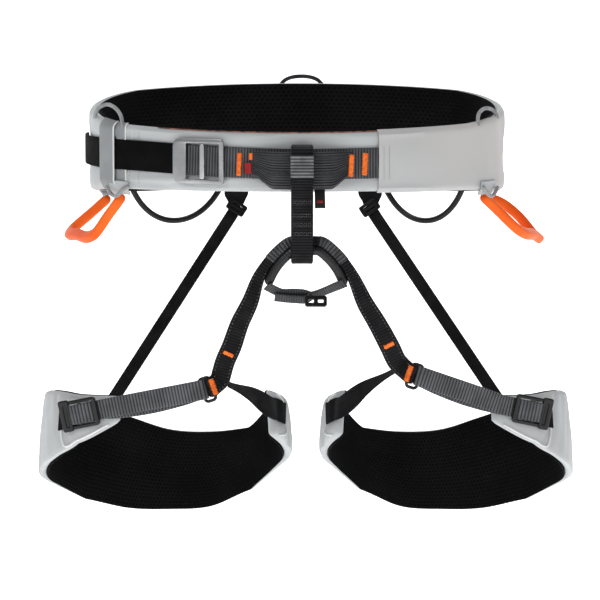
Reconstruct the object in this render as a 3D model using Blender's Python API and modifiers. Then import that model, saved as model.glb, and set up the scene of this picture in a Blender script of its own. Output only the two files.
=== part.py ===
"""A sit harness for climbing: a padded waist belt, a belay loop, a bridge and two padded leg loops.

The wearer looks along -Y, +X is the wearer's left, +Z is up, and the origin is the middle of the
waist opening. Every length is in metres. The soft pieces are plain closed solids at their true size.
"""

import math

import bmesh
import bpy
import numpy as np
from mathutils import Matrix, Vector

MM = 0.001
GAP = 0.3 * MM

# Padding, shared by the waist belt and the leg loops: an outer shell, a foam core and a lining.
SHELL_THICKNESS = 1.2 * MM
FOAM_THICKNESS = 5.0 * MM
LINING_THICKNESS = 1.2 * MM
FOAM_OFFSET = -(SHELL_THICKNESS + GAP)
LINING_OFFSET = FOAM_OFFSET - FOAM_THICKNESS - GAP

# Waist belt.
WAIST_HALF_WIDTH = 164.0 * MM
WAIST_HALF_DEPTH = 112.0 * MM
WAIST_SIDE_RADIUS = 84.0 * MM
WAIST_TOP = 32.4 * MM
WAIST_TOP_FALL = 12.2 * MM
WAIST_BOTTOM = -34.0 * MM
WAIST_BOTTOM_RISE = 8.5 * MM
SEAM_X = 66.0 * MM
SEAM_OPENING = math.radians(0.4)

# Waist webbing, its buckle and its keeper.
WEBBING_WIDTH = 23.5 * MM
WEBBING_THICKNESS = 2.2 * MM
WEBBING_END_X = 75.0 * MM
WEBBING_TAIL_ANGLE = math.radians(-100.0)
WEBBING_TAIL_LIFT = 3.0 * MM
PANEL_EDGE_X = 62.0 * MM
PANEL_END_ANGLE = math.radians(75.0)
BUCKLE_X = -74.0 * MM
BUCKLE_LENGTH = 42.0 * MM
BUCKLE_HEIGHT = 35.0 * MM
BUCKLE_RAIL = 3.6 * MM
BUCKLE_DROP = 0.6 * MM
BUCKLE_WIDE_BAR = 11.0 * MM
BUCKLE_NARROW_BAR = 4.0 * MM
BUCKLE_THICKNESS = 2.8 * MM
SLIDER_WIDTH = 4.0 * MM
SLIDER_X = 3.0 * MM
KEEPER_WIDTH = 26.0 * MM
KEEPER_ANGLE = math.radians(-57.0)
TRIM_THICKNESS = 1.2 * MM

# Tie-in band and belay loop.
BAND_LEFT_X = -33.0 * MM
BAND_RIGHT_X = 41.0 * MM
BAND_TOP = 5.0 * MM
BAND_BOTTOM = -21.0 * MM
BAND_THICKNESS = 3.0 * MM
BELAY_X = 4.0 * MM
BELAY_WIDTH = 17.0 * MM
BELAY_THICKNESS = 3.2 * MM
BELAY_CLEAR_HALF = 5.6 * MM
BELAY_TOP = 11.6 * MM
BELAY_BOTTOM = -79.0 * MM
BELAY_FOLD_Z = -22.0 * MM
BELAY_FOLD_GAP = 2.8 * MM

# Bridge: the webbing arch that joins the belay loop to both leg loops.
SEAT_X = 7.0 * MM
BRIDGE_THICKNESS = 3.6 * MM
BRIDGE_PIVOT_Z = -66.0 * MM
PROTECTOR_RADIUS = 3.4 * MM
CROSS_WIDTH = 8.5 * MM
CROSS_THICKNESS = 1.4 * MM
RING_INNER_LENGTH = 18.5 * MM
RING_INNER_WIDTH = 6.0 * MM
RING_WIRE = 1.3 * MM
RING_Y = -95.0 * MM

# Leg loops, in the distance outwards from the middle of the seat.
LEG_X = 112.0 * MM
LEG_Y = -14.0 * MM
LEG_HALF_WIDTH = 101.0 * MM
LEG_HALF_DEPTH = 74.0 * MM
LEG_SIDE_RADIUS = 64.0 * MM
LEG_LEAN = 0.222
LEG_LEAN_Z = -271.0 * MM
LEG_FLARE = 0.075
LEG_FLARE_Z = -250.0 * MM
LEG_STRAP_WIDTH = 15.5 * MM
LEG_STRAP_THICKNESS = 1.6 * MM
LEG_BUCKLE_ANGLE = math.radians(28.0)
LEG_BUCKLE_YAW = math.radians(24.0)
LEG_BUCKLE_OFFSET = 6.4 * MM
LEG_BUCKLE_LENGTH = 33.0 * MM
LEG_BUCKLE_HEIGHT = 23.0 * MM
LEG_BUCKLE_THICKNESS = 2.5 * MM
LEG_BIGHT_RADIUS = 4.6 * MM
# How far round the thigh the pad has got, in degrees from the front, its middle height and its height.
LEG_STATIONS = (
    (15.0, -201.0 * MM, 20.0 * MM),
    (28.0, -210.0 * MM, 34.0 * MM),
    (50.0, -218.0 * MM, 45.0 * MM),
    (75.0, -225.0 * MM, 57.0 * MM),
    (95.0, -231.0 * MM, 66.5 * MM),
    (125.0, -240.0 * MM, 74.0 * MM),
    (150.0, -251.5 * MM, 77.0 * MM),
    (167.0, -263.5 * MM, 73.0 * MM),
    (180.0, -269.0 * MM, 64.5 * MM),
    (195.0, -268.0 * MM, 60.0 * MM),
    (208.0, -259.0 * MM, 51.0 * MM),
    (235.0, -238.7 * MM, 49.5 * MM),
    (270.0, -224.5 * MM, 42.0 * MM),
    (308.0, -207.5 * MM, 36.0 * MM),
)

# Elastic risers, from the back of the belt to the back of the leg loops.
RISER_WIDTH = 10.0 * MM
RISER_THICKNESS = 1.6 * MM
RISER_X = 55.0 * MM
RISER_MIDDLE_X = 5.0 * MM
RISER_TOP_Z = -58.0 * MM
RISER_LEG_ANGLE = math.radians(160.0)
RISER_SPLIT = 0.45
RISER_START = 6.5 * MM
RISER_CLEARANCE = 3.6 * MM

# Gear loops and small cords.
GEAR_RADIUS = 3.7 * MM
REAR_LOOP_RADIUS = 2.4 * MM
BOW_RADIUS = 1.5 * MM
HAUL_RADIUS = 1.6 * MM
HAUL_X = 3.6 * MM
HAUL_HINGE_Z = 24.0 * MM

SIDES = {"right": -1, "left": 1}
# The two rings hang at slightly different places, because the straps are pulled unequally.
RING_X = {"right": 76.7 * MM, "left": 84.5 * MM}
RING_Z = {"right": -179.4 * MM, "left": -169.0 * MM}
GEAR_ANGLES = {"right": (44.0, 117.0), "left": (54.0, 119.0)}
# How far outwards and down each end of a gear loop runs, the front end first.
GEAR_FLARES = {
    "right": ((25.0 * MM, -34.0 * MM), (32.0 * MM, -28.0 * MM)),
    "left": ((31.0 * MM, -30.0 * MM), (34.0 * MM, -33.0 * MM)),
}
REAR_INNER_ANGLE = {"right": 164.5, "left": 161.7}
BOW_RISE = {"right": 9.5 * MM, "left": 4.0 * MM}
LEG_BUCKLE_Z = {"right": -205.0 * MM, "left": -203.0 * MM}

FINISHES = {
    "shell_fabric": ((0.60, 0.62, 0.63), 0.75, 0.0),
    "foam_core": ((0.16, 0.16, 0.17), 0.9, 0.0),
    "lining_mesh": ((0.012, 0.012, 0.013), 0.9, 0.0),
    "black_webbing": ((0.015, 0.015, 0.017), 0.7, 0.0),
    "ribbed_webbing": ((0.05, 0.05, 0.055), 0.7, 0.0),
    "grey_trim": ((0.35, 0.37, 0.38), 0.7, 0.0),
    "grey_cord": ((0.42, 0.44, 0.45), 0.8, 0.0),
    "label_fabric": ((0.01, 0.01, 0.01), 0.8, 0.0),
    "red_tab_fabric": ((0.45, 0.02, 0.02), 0.8, 0.0),
    "orange_plastic": ((1.0, 0.13, 0.02), 0.35, 0.0),
    "black_plastic": ((0.012, 0.012, 0.013), 0.3, 0.0),
    "brushed_aluminium": ((0.55, 0.56, 0.57), 0.3, 1.0),
    "black_aluminium": ((0.02, 0.02, 0.022), 0.35, 0.9),
    "elastic_band": ((0.014, 0.014, 0.016), 0.8, 0.0),
}


def smooth_step(value):
    """0 below 0, 1 above 1, and an even S between them."""
    held = min(max(value, 0.0), 1.0)
    return held * held * (3.0 - 2.0 * held)


def smooth_table(rows, where):
    """The row of a table at one place, on a curve through its rows; the first column is the place."""
    table = np.array(rows)
    places = table[:, 0]
    slopes = np.gradient(table[:, 1:], places, axis=0)
    index = int(np.clip(np.searchsorted(places, where) - 1, 0, len(places) - 2))
    run = places[index + 1] - places[index]
    t = (where - places[index]) / run
    low, high = table[index, 1:], table[index + 1, 1:]
    return (
        (2 * t**3 - 3 * t**2 + 1) * low
        + (t**3 - 2 * t**2 + t) * run * slopes[index]
        + (3 * t**2 - 2 * t**3) * high
        + (t**3 - t**2) * run * slopes[index + 1]
    )


def smooth_path(points, steps):
    """Evenly counted points on a curve through the given ones."""
    lengths = [0.0]
    for start, end in zip(points, points[1:]):
        lengths.append(lengths[-1] + (Vector(end) - Vector(start)).length)
    rows = [(length, *point) for length, point in zip(lengths, points)]
    return [Vector(smooth_table(rows, where)) for where in np.linspace(0.0, lengths[-1], steps)]


class Oval:
    """A four-arc oval, followed by the angle of its outward normal: 0 faces -Y, 90 degrees +X."""

    def __init__(self, half_width, half_depth, side_radius):
        self.run = half_width - side_radius
        self.side_radius = side_radius
        squares = self.run**2 + half_depth**2 - side_radius**2
        self.front_radius = squares / (2.0 * (half_depth - side_radius))
        self.rise = self.front_radius - half_depth
        self.limit = math.atan2(self.run, self.rise)

    def point(self, angle, offset=0.0):
        """The (x, y) of the point that faces this way, moved outwards by the offset."""
        normal = Vector((math.sin(angle), -math.cos(angle)))
        folded = abs((angle + math.pi) % (2.0 * math.pi) - math.pi)
        if folded < self.limit:
            return Vector((0.0, self.rise)) + normal * (self.front_radius + offset)
        if folded > math.pi - self.limit:
            return Vector((0.0, -self.rise)) + normal * (self.front_radius + offset)
        centre = Vector((math.copysign(self.run, math.sin(angle)), 0.0))
        return centre + normal * (self.side_radius + offset)

    def angle_at(self, x):
        """The angle at which the front arc passes this x."""
        return math.asin(x / self.front_radius)


WAIST = Oval(WAIST_HALF_WIDTH, WAIST_HALF_DEPTH, WAIST_SIDE_RADIUS)
LEG = Oval(LEG_HALF_WIDTH, LEG_HALF_DEPTH, LEG_SIDE_RADIUS)
BELAY_Y = -(WAIST_HALF_DEPTH + 2 * GAP + WEBBING_THICKNESS + BELAY_THICKNESS + BELAY_CLEAR_HALF)


def waist_top(angle):
    return WAIST_TOP - WAIST_TOP_FALL * math.cos(angle)


def waist_bottom(angle):
    return WAIST_BOTTOM + WAIST_BOTTOM_RISE * math.cos(angle)


def waist_point(angle, offset, z):
    x, y = WAIST.point(angle, offset)
    return Vector((x, y, z))


def webbing_middle(angle):
    """The height of the waist webbing's middle line, which climbs a little towards the right side."""
    return -3.8 * MM + 3.4 * MM * smooth_step(-angle / math.radians(40.0))


def seat_point(side, x, y, z):
    """A point at the distance x outwards from the middle of the seat, on one side."""
    return Vector((SEAT_X + SIDES[side] * x, y, z))


def leg_point(side, angle, offset, z):
    """A point at this distance outside the leg loop's shell, at the height z."""
    x, y = LEG.point(angle, offset - (z - LEG_FLARE_Z) * LEG_FLARE)
    lean = (z - LEG_LEAN_Z) * LEG_LEAN
    return seat_point(side, LEG_X + x, LEG_Y + y + lean, z)


def leg_edge(angle, share):
    """The height at a share of the leg pad's height, 0 at its lower edge and 1 at its upper one."""
    middle, height = smooth_table(LEG_STATIONS, math.degrees(angle))
    return middle + (share - 0.5) * height


def riser_angle(side):
    """Where on the back of the belt a riser hangs."""
    return math.pi - WAIST.angle_at(RISER_MIDDLE_X + SIDES[side] * RISER_X)


def riser_ends(side):
    """The riser's hanging point under the belt and its lower end at the leg loop."""
    top = waist_point(riser_angle(side), 0.0, RISER_TOP_Z)
    edge = leg_edge(RISER_LEG_ANGLE, 1.0) + 9.0 * MM
    return top, leg_point(side, RISER_LEG_ANGLE, 0.0, edge)


def rear_loop_ends(side):
    """Where a rear gear loop's two ends are sewn on, the outer one first."""
    height = -24.0 * MM
    hang = REAR_LOOP_RADIUS + TRIM_THICKNESS + 3.0 * GAP
    angles = [math.radians(139.0), math.radians(REAR_INNER_ANGLE[side])]
    return [waist_point(SIDES[side] * angle, hang, height) for angle in angles]


def front_loop_ends(side):
    """The two ends of a moulded gear loop, the front one first, under the belt's lower edge."""
    ends = []
    for angle in map(math.radians, GEAR_ANGLES[side]):
        height = waist_bottom(angle) - GEAR_RADIUS - 1.0 * MM
        ends.append(waist_point(SIDES[side] * angle, -GEAR_RADIUS - GAP, height))
    return ends


def joint_points():
    """The name of each moving body, its parent and a point on its joint."""
    points = {
        "belay_loop": (None, Vector((BELAY_X, BELAY_Y, BELAY_FOLD_Z))),
        "bridge": ("belay_loop", Vector((SEAT_X, BELAY_Y, BRIDGE_PIVOT_Z))),
        "waist_slider": (None, waist_point(WAIST.angle_at(BUCKLE_X), 4.3 * MM, 0.0)),
        "haul_loop": (None, Vector((HAUL_X, WAIST_HALF_DEPTH + HAUL_RADIUS + GAP, HAUL_HINGE_Z))),
    }
    for side in SIDES:
        top, bottom = riser_ends(side)
        points[f"leg_{side}"] = ("bridge", seat_point(side, RING_X[side], RING_Y, RING_Z[side]))
        points[f"leg_slider_{side}"] = (f"leg_{side}", leg_buckle_matrix(side).to_translation())
        points[f"riser_buckle_{side}"] = (None, top)
        low_end = top + (bottom - top).normalized() * RISER_START
        points[f"riser_{side}"] = (f"riser_buckle_{side}", low_end)
        points[f"riser_end_{side}"] = (f"riser_{side}", top.lerp(bottom, RISER_SPLIT))
        points[f"front_loop_{side}"] = (None, front_loop_ends(side)[0])
        points[f"rear_loop_{side}"] = (None, rear_loop_ends(side)[0])
    return points


def clear_scene():
    for obj in list(bpy.data.objects):
        bpy.data.objects.remove(obj, do_unlink=True)


def make_materials():
    materials = {}
    for name, (colour, roughness, metallic) in FINISHES.items():
        material = bpy.data.materials.new(name)
        material.use_nodes = True
        shader = material.node_tree.nodes["Principled BSDF"]
        shader.inputs["Base Color"].default_value = (*colour, 1.0)
        shader.inputs["Roughness"].default_value = roughness
        shader.inputs["Metallic"].default_value = metallic
        materials[name] = material
    return materials


def make_pivots(collection):
    """One empty for each moving body, on its joint's axis."""
    pivots = {}
    for name, (parent, place) in joint_points().items():
        pivot = bpy.data.objects.new(f"pivot_{name}", None)
        pivot.empty_display_size = 10 * MM
        pivot.location = place
        if parent:
            pivot.parent = pivots[parent]
            pivot.location = place - joint_points()[parent][1]
        collection.objects.link(pivot)
        pivots[name] = pivot
    return pivots


class Maker:
    """Adds named pieces to the harness, each on its body and with its finish."""

    def __init__(self):
        self.collection = bpy.data.collections.new("climbing_harness")
        bpy.context.scene.collection.children.link(self.collection)
        self.materials = make_materials()
        self.pivots = make_pivots(self.collection)

    def add(self, name, data, finish, body=None, matrix=None):
        """A new object from a mesh or a curve, parented to its body's empty."""
        obj = bpy.data.objects.new(name, data)
        data.materials.append(self.materials[finish])
        self.collection.objects.link(obj)
        if matrix is not None:
            obj.matrix_basis = matrix
        if body:
            obj.parent = self.pivots[body]
            place = joint_points()[body][1]
            obj.matrix_parent_inverse = Matrix.Translation(-place)
        return obj

    def sheet(self, name, place, counts, thickness, finish, body=None, flip=False, centred=False):
        """A thick sheet: place gives the surface point for two shares from 0 to 1."""
        work = bmesh.new()
        bmesh.ops.create_grid(work, x_segments=counts[0], y_segments=counts[1], size=0.5)
        for vert in work.verts:
            vert.co = place(vert.co.x + 0.5, vert.co.y + 0.5)
        if flip:
            bmesh.ops.reverse_faces(work, faces=work.faces)
        mesh = bpy.data.meshes.new(name)
        work.to_mesh(mesh)
        work.free()
        obj = self.add(name, mesh, finish, body)
        solidify = obj.modifiers.new("Thickness", "SOLIDIFY")
        solidify.thickness = thickness
        solidify.offset = 0.0 if centred else -1.0
        solidify.use_even_offset = True
        return obj

    def ribbon(self, name, path, across, widths, thickness, finish, body=None):
        """A flat strap along a list of points, lying to both sides of it along the across vectors."""
        last = len(path) - 1

        def place(share, side):
            index = round(share * last)
            return path[index] + across[index] * (side - 0.5) * widths[index]

        return self.sheet(name, place, (last, 1), thickness, finish, body, centred=True)

    def wire(self, name, path, radius, finish, body=None, cyclic=False):
        """A round bar or cord along a list of points."""
        curve = bpy.data.curves.new(name, "CURVE")
        curve.dimensions = "3D"
        curve.bevel_depth = radius
        curve.bevel_resolution = 2
        curve.use_fill_caps = not cyclic
        spline = curve.splines.new("POLY")
        spline.points.add(len(path) - 1)
        for point, place in zip(spline.points, path):
            point.co = (*place, 1.0)
        spline.use_cyclic_u = cyclic
        return self.add(name, curve, finish, body)

    def plate(self, name, outlines, thickness, matrix, finish, body=None):
        """A flat plate from closed outlines: the first is its rim and the others are its holes."""
        curve = bpy.data.curves.new(name, "CURVE")
        curve.dimensions = "2D"
        curve.fill_mode = "BOTH"
        curve.extrude = thickness / 2.0
        for outline in outlines:
            spline = curve.splines.new("POLY")
            spline.points.add(len(outline) - 1)
            for point, (x, y) in zip(spline.points, outline):
                point.co = (x, y, 0.0, 1.0)
            spline.use_cyclic_u = True
        return self.add(name, curve, finish, body, matrix)


def rounded_rectangle(left, right, bottom, top, radius, steps=3):
    """The outline of a rectangle with round corners, as points."""
    corners = (
        (right - radius, top - radius, 0.0),
        (left + radius, top - radius, 90.0),
        (left + radius, bottom + radius, 180.0),
        (right - radius, bottom + radius, 270.0),
    )
    points = []
    for x, y, start in corners:
        for step in range(steps + 1):
            angle = math.radians(start + 90.0 * step / steps)
            points.append((x + radius * math.cos(angle), y + radius * math.sin(angle)))
    return points


def facing_matrix(place, angle):
    """A frame on the belt: local X along it, local Y up and local Z outwards."""
    return Matrix.Translation(place) @ Matrix.Rotation(angle, 4, "Z") @ Matrix.Rotation(math.pi / 2, 4, "X")


def matrix_from_axes(place, along, up):
    """A frame with local X along a strap, local Y across it and local Z out of its face."""
    x_axis = along.normalized()
    z_axis = x_axis.cross(up).normalized()
    y_axis = z_axis.cross(x_axis)
    matrix = Matrix((x_axis, y_axis, z_axis)).transposed().to_4x4()
    matrix.translation = place
    return matrix


# Waist belt


def add_waist_pad(maker):
    start = WAIST.angle_at(SEAM_X) + SEAM_OPENING
    span = 2.0 * math.pi - SEAM_OPENING
    layers = (
        ("waist_shell", 0.0, SHELL_THICKNESS, "shell_fabric"),
        ("waist_foam", FOAM_OFFSET, FOAM_THICKNESS, "foam_core"),
        ("waist_lining", LINING_OFFSET, LINING_THICKNESS, "lining_mesh"),
    )
    for name, offset, thickness, finish in layers:

        def place(share, height, offset=offset):
            angle = start + span * share
            low, high = waist_bottom(angle), waist_top(angle)
            return waist_point(angle, offset, low + (high - low) * height)

        maker.sheet(name, place, (56, 2), thickness, finish)


def add_waist_panel(maker):
    """The side panel of the shell that covers the sewn end of the waist webbing."""
    start = WAIST.angle_at(PANEL_EDGE_X)
    lifted = WAIST.angle_at(WEBBING_END_X + 3.0 * MM)
    settled = lifted + math.radians(10.0)
    low_offset = GAP + TRIM_THICKNESS
    high_offset = low_offset + GAP + WEBBING_THICKNESS

    def place(share, height):
        angle = start + (PANEL_END_ANGLE - start) * share
        fall = smooth_step((angle - lifted) / (settled - lifted))
        offset = high_offset + (low_offset - high_offset) * fall
        low, high = waist_bottom(angle), waist_top(angle)
        return waist_point(angle, offset, low + (high - low) * height)

    maker.sheet("waist_side_panel", place, (24, 1), TRIM_THICKNESS, "shell_fabric")


def buckle_bars():
    """The webbing's way past the buckle: places along the belt, and the strap's height off it."""
    right = BUCKLE_X + BUCKLE_LENGTH / 2.0 - BUCKLE_NARROW_BAR
    left = BUCKLE_X - BUCKLE_LENGTH / 2.0 + BUCKLE_WIDE_BAR
    slider = BUCKLE_X + SLIDER_X
    lifted = 2.0 * GAP + WEBBING_THICKNESS + BUCKLE_THICKNESS + GAP
    return (
        (right - 1.5 * MM, GAP),
        (slider + SLIDER_WIDTH / 2.0 + 0.6 * MM, lifted),
        (slider - SLIDER_WIDTH / 2.0 - 0.6 * MM, lifted),
        (left + 1.5 * MM, GAP),
    )


def add_waist_webbing(maker):
    """One strap: under the side panel, behind the tie-in band, over the slider and out as the tail."""
    bars = buckle_bars()
    keeper = KEEPER_ANGLE - math.radians(8.0)
    stations = [(WAIST.angle_at(WEBBING_END_X), GAP)]
    stations += [(WAIST.angle_at(x), GAP) for x in np.linspace(60 * MM, -45 * MM, 7)]
    stations += [(WAIST.angle_at(x), lift) for x, lift in bars]
    stations += [(angle, GAP) for angle in np.linspace(math.radians(-26.5), keeper, 8)]
    tail = np.linspace(keeper, WEBBING_TAIL_ANGLE, 8)[1:]
    for angle in tail:
        share = (angle - keeper) / (WEBBING_TAIL_ANGLE - keeper)
        stations.append((angle, GAP + WEBBING_TAIL_LIFT * smooth_step(share)))
    last = len(stations) - 1

    def place(share, height):
        angle, lift = stations[last - round(share * last)]
        z = webbing_middle(angle) + (height - 0.5) * WEBBING_WIDTH
        return waist_point(angle, lift + WEBBING_THICKNESS, z)

    maker.sheet("waist_webbing", place, (last, 1), WEBBING_THICKNESS, "ribbed_webbing")


def add_waist_buckle(maker):
    """A flat frame with one window, and the loose bar that slides in it and grips the webbing."""
    angle = WAIST.angle_at(BUCKLE_X)
    offset = 2.0 * GAP + WEBBING_THICKNESS + BUCKLE_THICKNESS / 2.0
    matrix = facing_matrix(waist_point(angle, offset, webbing_middle(angle) - BUCKLE_DROP), angle)
    half_length, half_height = BUCKLE_LENGTH / 2.0, BUCKLE_HEIGHT / 2.0
    window = (
        -half_length + BUCKLE_WIDE_BAR,
        half_length - BUCKLE_NARROW_BAR,
        -half_height + BUCKLE_RAIL,
        half_height - BUCKLE_RAIL,
    )
    outlines = (
        rounded_rectangle(-half_length, half_length, -half_height, half_height, 4.0 * MM),
        rounded_rectangle(*window, 1.0 * MM),
    )
    maker.plate("waist_buckle_frame", outlines, BUCKLE_THICKNESS, matrix, "brushed_aluminium")
    reach = half_height - BUCKLE_RAIL - GAP
    half_bar = SLIDER_WIDTH / 2.0
    bar = rounded_rectangle(SLIDER_X - half_bar, SLIDER_X + half_bar, -reach, reach, 1.0 * MM)
    thickness = BUCKLE_THICKNESS - GAP
    maker.plate("waist_buckle_slider", [bar], thickness, matrix, "brushed_aluminium", "waist_slider")


def add_keeper(maker):
    """A flat strip sewn to the belt over the webbing's tail."""
    half_turn = KEEPER_WIDTH / 2.0 / WAIST_SIDE_RADIUS

    def place(share, height):
        angle = KEEPER_ANGLE + (2.0 * share - 1.0) * half_turn
        low, high = waist_bottom(angle) + 1.0 * MM, waist_top(angle) - 1.0 * MM
        z = low + (high - low) * height
        beyond = abs(z - webbing_middle(angle)) - WEBBING_WIDTH / 2.0 - 1.5 * MM
        lift = (WEBBING_THICKNESS + 3.0 * GAP) * (1.0 - smooth_step(beyond / (7.0 * MM)))
        return waist_point(angle, GAP + TRIM_THICKNESS + lift, z)

    maker.sheet("tail_keeper", place, (2, 14), TRIM_THICKNESS, "grey_trim")


def add_tie_in_band(maker):
    """The upper tie-in point, sewn to the webbing at both ends and standing off it in the middle."""
    low_lift = 3.0 * GAP + WEBBING_THICKNESS
    high_lift = -BELAY_Y - BAND_THICKNESS / 2.0 - WAIST_HALF_DEPTH
    ramp = 24.0 * MM

    def place(share, height):
        x = BAND_LEFT_X + (BAND_RIGHT_X - BAND_LEFT_X) * share
        inside = min(x - BAND_LEFT_X, BAND_RIGHT_X - x)
        lift = low_lift + (high_lift - low_lift) * smooth_step(inside / ramp)
        low = BAND_BOTTOM + 9.0 * MM * (1.0 - smooth_step(inside / (16.0 * MM)))
        z = low + (BAND_TOP - low) * height
        return waist_point(WAIST.angle_at(x), lift + BAND_THICKNESS, z)

    maker.sheet("tie_in_band", place, (24, 1), BAND_THICKNESS, "black_webbing")


def add_belay_loop(maker):
    """One sewn loop of webbing. It folds at the tie-in band's lower edge, so it is in two nodes."""
    middle = BELAY_CLEAR_HALF + BELAY_THICKNESS / 2.0
    upper_end = BELAY_FOLD_Z + BELAY_FOLD_GAP / 2.0
    lower_end = BELAY_FOLD_Z - BELAY_FOLD_GAP / 2.0
    upper_turn = BELAY_TOP - BELAY_THICKNESS / 2.0 - middle
    lower_turn = BELAY_BOTTOM + BELAY_THICKNESS / 2.0 + middle
    arc = np.linspace(0.0, math.pi, 11)
    across = Vector((1.0, 0.0, 0.0))

    def profile(end, turn, sign):
        points = [(-middle, end)]
        points += [(-middle * math.cos(t), turn + sign * middle * math.sin(t)) for t in arc]
        points.append((middle, end))
        return [Vector((BELAY_X, BELAY_Y + y, z)) for y, z in points]

    loops = (
        ("belay_loop_top", profile(upper_end, upper_turn, 1.0), None),
        ("belay_loop", profile(lower_end, lower_turn, -1.0), "belay_loop"),
    )
    for name, path, body in loops:
        counts = len(path)
        maker.ribbon(
            name, path, [across] * counts, [BELAY_WIDTH] * counts, BELAY_THICKNESS, "black_webbing", body
        )


def add_labels(maker):
    """A blank sewn-in label beside the belay loop, and a small blank tab at the band's right end."""
    label = rounded_rectangle(13.4 * MM, 21.4 * MM, -37.0 * MM, -22.0 * MM, 0.5 * MM, 2)
    place = Vector((0.0, BELAY_Y + 4.0 * MM, 0.0))
    maker.plate("size_label", [label], 0.6 * MM, facing_matrix(place, 0.0), "label_fabric")
    angle = WAIST.angle_at(-36.7 * MM)
    place = waist_point(angle, WEBBING_THICKNESS + 4.0 * GAP, -7.0 * MM)
    tab = rounded_rectangle(-2.6 * MM, 2.6 * MM, -4.0 * MM, 4.0 * MM, 0.5 * MM, 2)
    maker.plate("side_tab", [tab], 0.6 * MM, facing_matrix(place, angle), "red_tab_fabric")


def add_bows(maker):
    """Cord bows for clipping small gear: one over each front quarter of the belt and one under it."""
    middle_of_pad = FOAM_OFFSET - FOAM_THICKNESS / 2.0
    for side, sign in SIDES.items():
        path = []
        for share in np.linspace(0.0, 1.0, 12):
            angle = sign * math.radians(41.0 + 29.0 * share)
            rise = BOW_RISE[side] * math.sin(math.pi * share) ** 0.7 + BOW_RADIUS + GAP
            path.append(waist_point(angle, middle_of_pad, waist_top(angle) + rise))
        maker.wire(f"top_bow_{side}", path, BOW_RADIUS, "grey_cord")
        path = []
        for share in np.linspace(0.0, 1.0, 10):
            angle = sign * math.radians(GEAR_ANGLES[side][0] - 7.0 + 14.0 * share)
            drop = 8.0 * MM * math.sin(math.pi * share)
            offset = BOW_RADIUS + 2.0 * (TRIM_THICKNESS + GAP) + GAP
            path.append(waist_point(angle, offset, waist_bottom(angle) + 3.0 * MM - drop))
        maker.wire(f"bottom_bow_{side}", path, BOW_RADIUS, "grey_cord")


def add_haul_loop(maker):
    y = WAIST_HALF_DEPTH + HAUL_RADIUS + GAP
    outline = ((-21, 24), (-20.5, 36), (-14, 46.5), (0, 50), (14, 46.5), (20.5, 36), (21, 24))
    points = [Vector((HAUL_X + x * MM, y, z * MM)) for x, z in outline]
    maker.wire("haul_loop", smooth_path(points, 22), HAUL_RADIUS, "black_webbing", "haul_loop")


def add_gear_loops(maker):
    for side, sign in SIDES.items():
        front, back = front_loop_ends(side)
        (front_out, front_drop), (back_out, back_drop) = GEAR_FLARES[side]
        low_front = front + Vector((sign * front_out, 13.0 * MM, front_drop))
        low_back = back + Vector((sign * back_out, -8.0 * MM, back_drop))
        middle = (low_front + low_back) / 2.0 + Vector((sign * 3.0 * MM, 0.0, 0.0))
        points = [
            front,
            front.lerp(low_front, 0.45),
            front.lerp(low_front, 0.9),
            low_front.lerp(middle, 0.22),
            middle,
            low_back.lerp(middle, 0.22),
            back.lerp(low_back, 0.9),
            back.lerp(low_back, 0.45),
            back,
        ]
        path = smooth_path(points, 26)
        maker.wire(f"front_gear_loop_{side}", path, GEAR_RADIUS, "orange_plastic", f"front_loop_{side}")
        add_loop_anchors(maker, side)
        outer, inner = rear_loop_ends(side)
        path = []
        for share in np.linspace(0.0, 1.0, 27):
            fall = 43.0 * MM * math.sin(math.pi * share) ** 0.55
            slide = share - 0.13 * math.sin(2.0 * math.pi * share)
            path.append(outer.lerp(inner, slide) - Vector((0.0, 0.0, fall)))
        maker.wire(f"rear_gear_loop_{side}", path, REAR_LOOP_RADIUS, "black_plastic", f"rear_loop_{side}")


def add_loop_anchors(maker, side):
    """The sewn fabric tabs that hold the two ends of a moulded gear loop."""
    layer = GAP + TRIM_THICKNESS
    for name, middle, lift in zip(("front", "back"), GEAR_ANGLES[side], (2.0 * layer, layer)):
        middle_angle = math.radians(middle)
        half_turn = 9.0 * MM / WAIST_SIDE_RADIUS

        def place(share, height, middle_angle=middle_angle, half_turn=half_turn, lift=lift):
            angle = SIDES[side] * (middle_angle + (2.0 * share - 1.0) * half_turn)
            low = waist_bottom(middle_angle) - 1.0 * MM
            return waist_point(angle, lift, low + 7.0 * MM * height)

        flip = side == "right"
        maker.sheet(f"gear_anchor_{name}_{side}", place, (3, 2), TRIM_THICKNESS, "grey_trim", flip=flip)


# Bridge


def bridge_path(side):
    """The bridge webbing from the top of the arch down to one ring, with its width at each point."""
    front = BELAY_Y / MM
    spread = RING_X[side] / MM - 76.7
    rows = (
        (0.0, front, -61.8, 7.5),
        (12.0, front, -62.4, 7.5),
        (21.5, front + 0.3, -69.5, 7.5),
        (29.5, front + 0.9, -78.8, 8.0),
        (35.5, front + 2.0, -88.7, 9.5),
        (43.0 + 0.1 * spread, front + 5.0, -109.6, 13.0),
        (51.0 + 0.7 * spread, front + 11.5, -127.0, 14.5),
        (57.5 + 1.2 * spread, front + 18.0, -146.0, 15.5),
        (62.5 + 1.2 * spread, front + 24.0, -158.0, 15.5),
        (RING_X[side] / MM - 10.8, RING_Y / MM, RING_Z[side] / MM + 6.5, 15.5),
    )
    points = smooth_path([row[:3] for row in rows], 26)
    lengths = np.cumsum([0.0] + [math.dist(a[:3], b[:3]) for a, b in zip(rows, rows[1:])])
    widths = np.interp(np.linspace(0.0, lengths[-1], 26), lengths, [row[3] for row in rows])
    return [seat_point(side, *(point * MM)) for point in points], [width * MM for width in widths]


def across_front(path):
    """For each point of a path, the direction across it as seen from the front."""
    vectors = []
    for index in range(len(path)):
        along = path[min(index + 1, len(path) - 1)] - path[max(index - 1, 0)]
        vectors.append(along.cross(Vector((0.0, -1.0, 0.0))).normalized())
    return vectors


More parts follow.
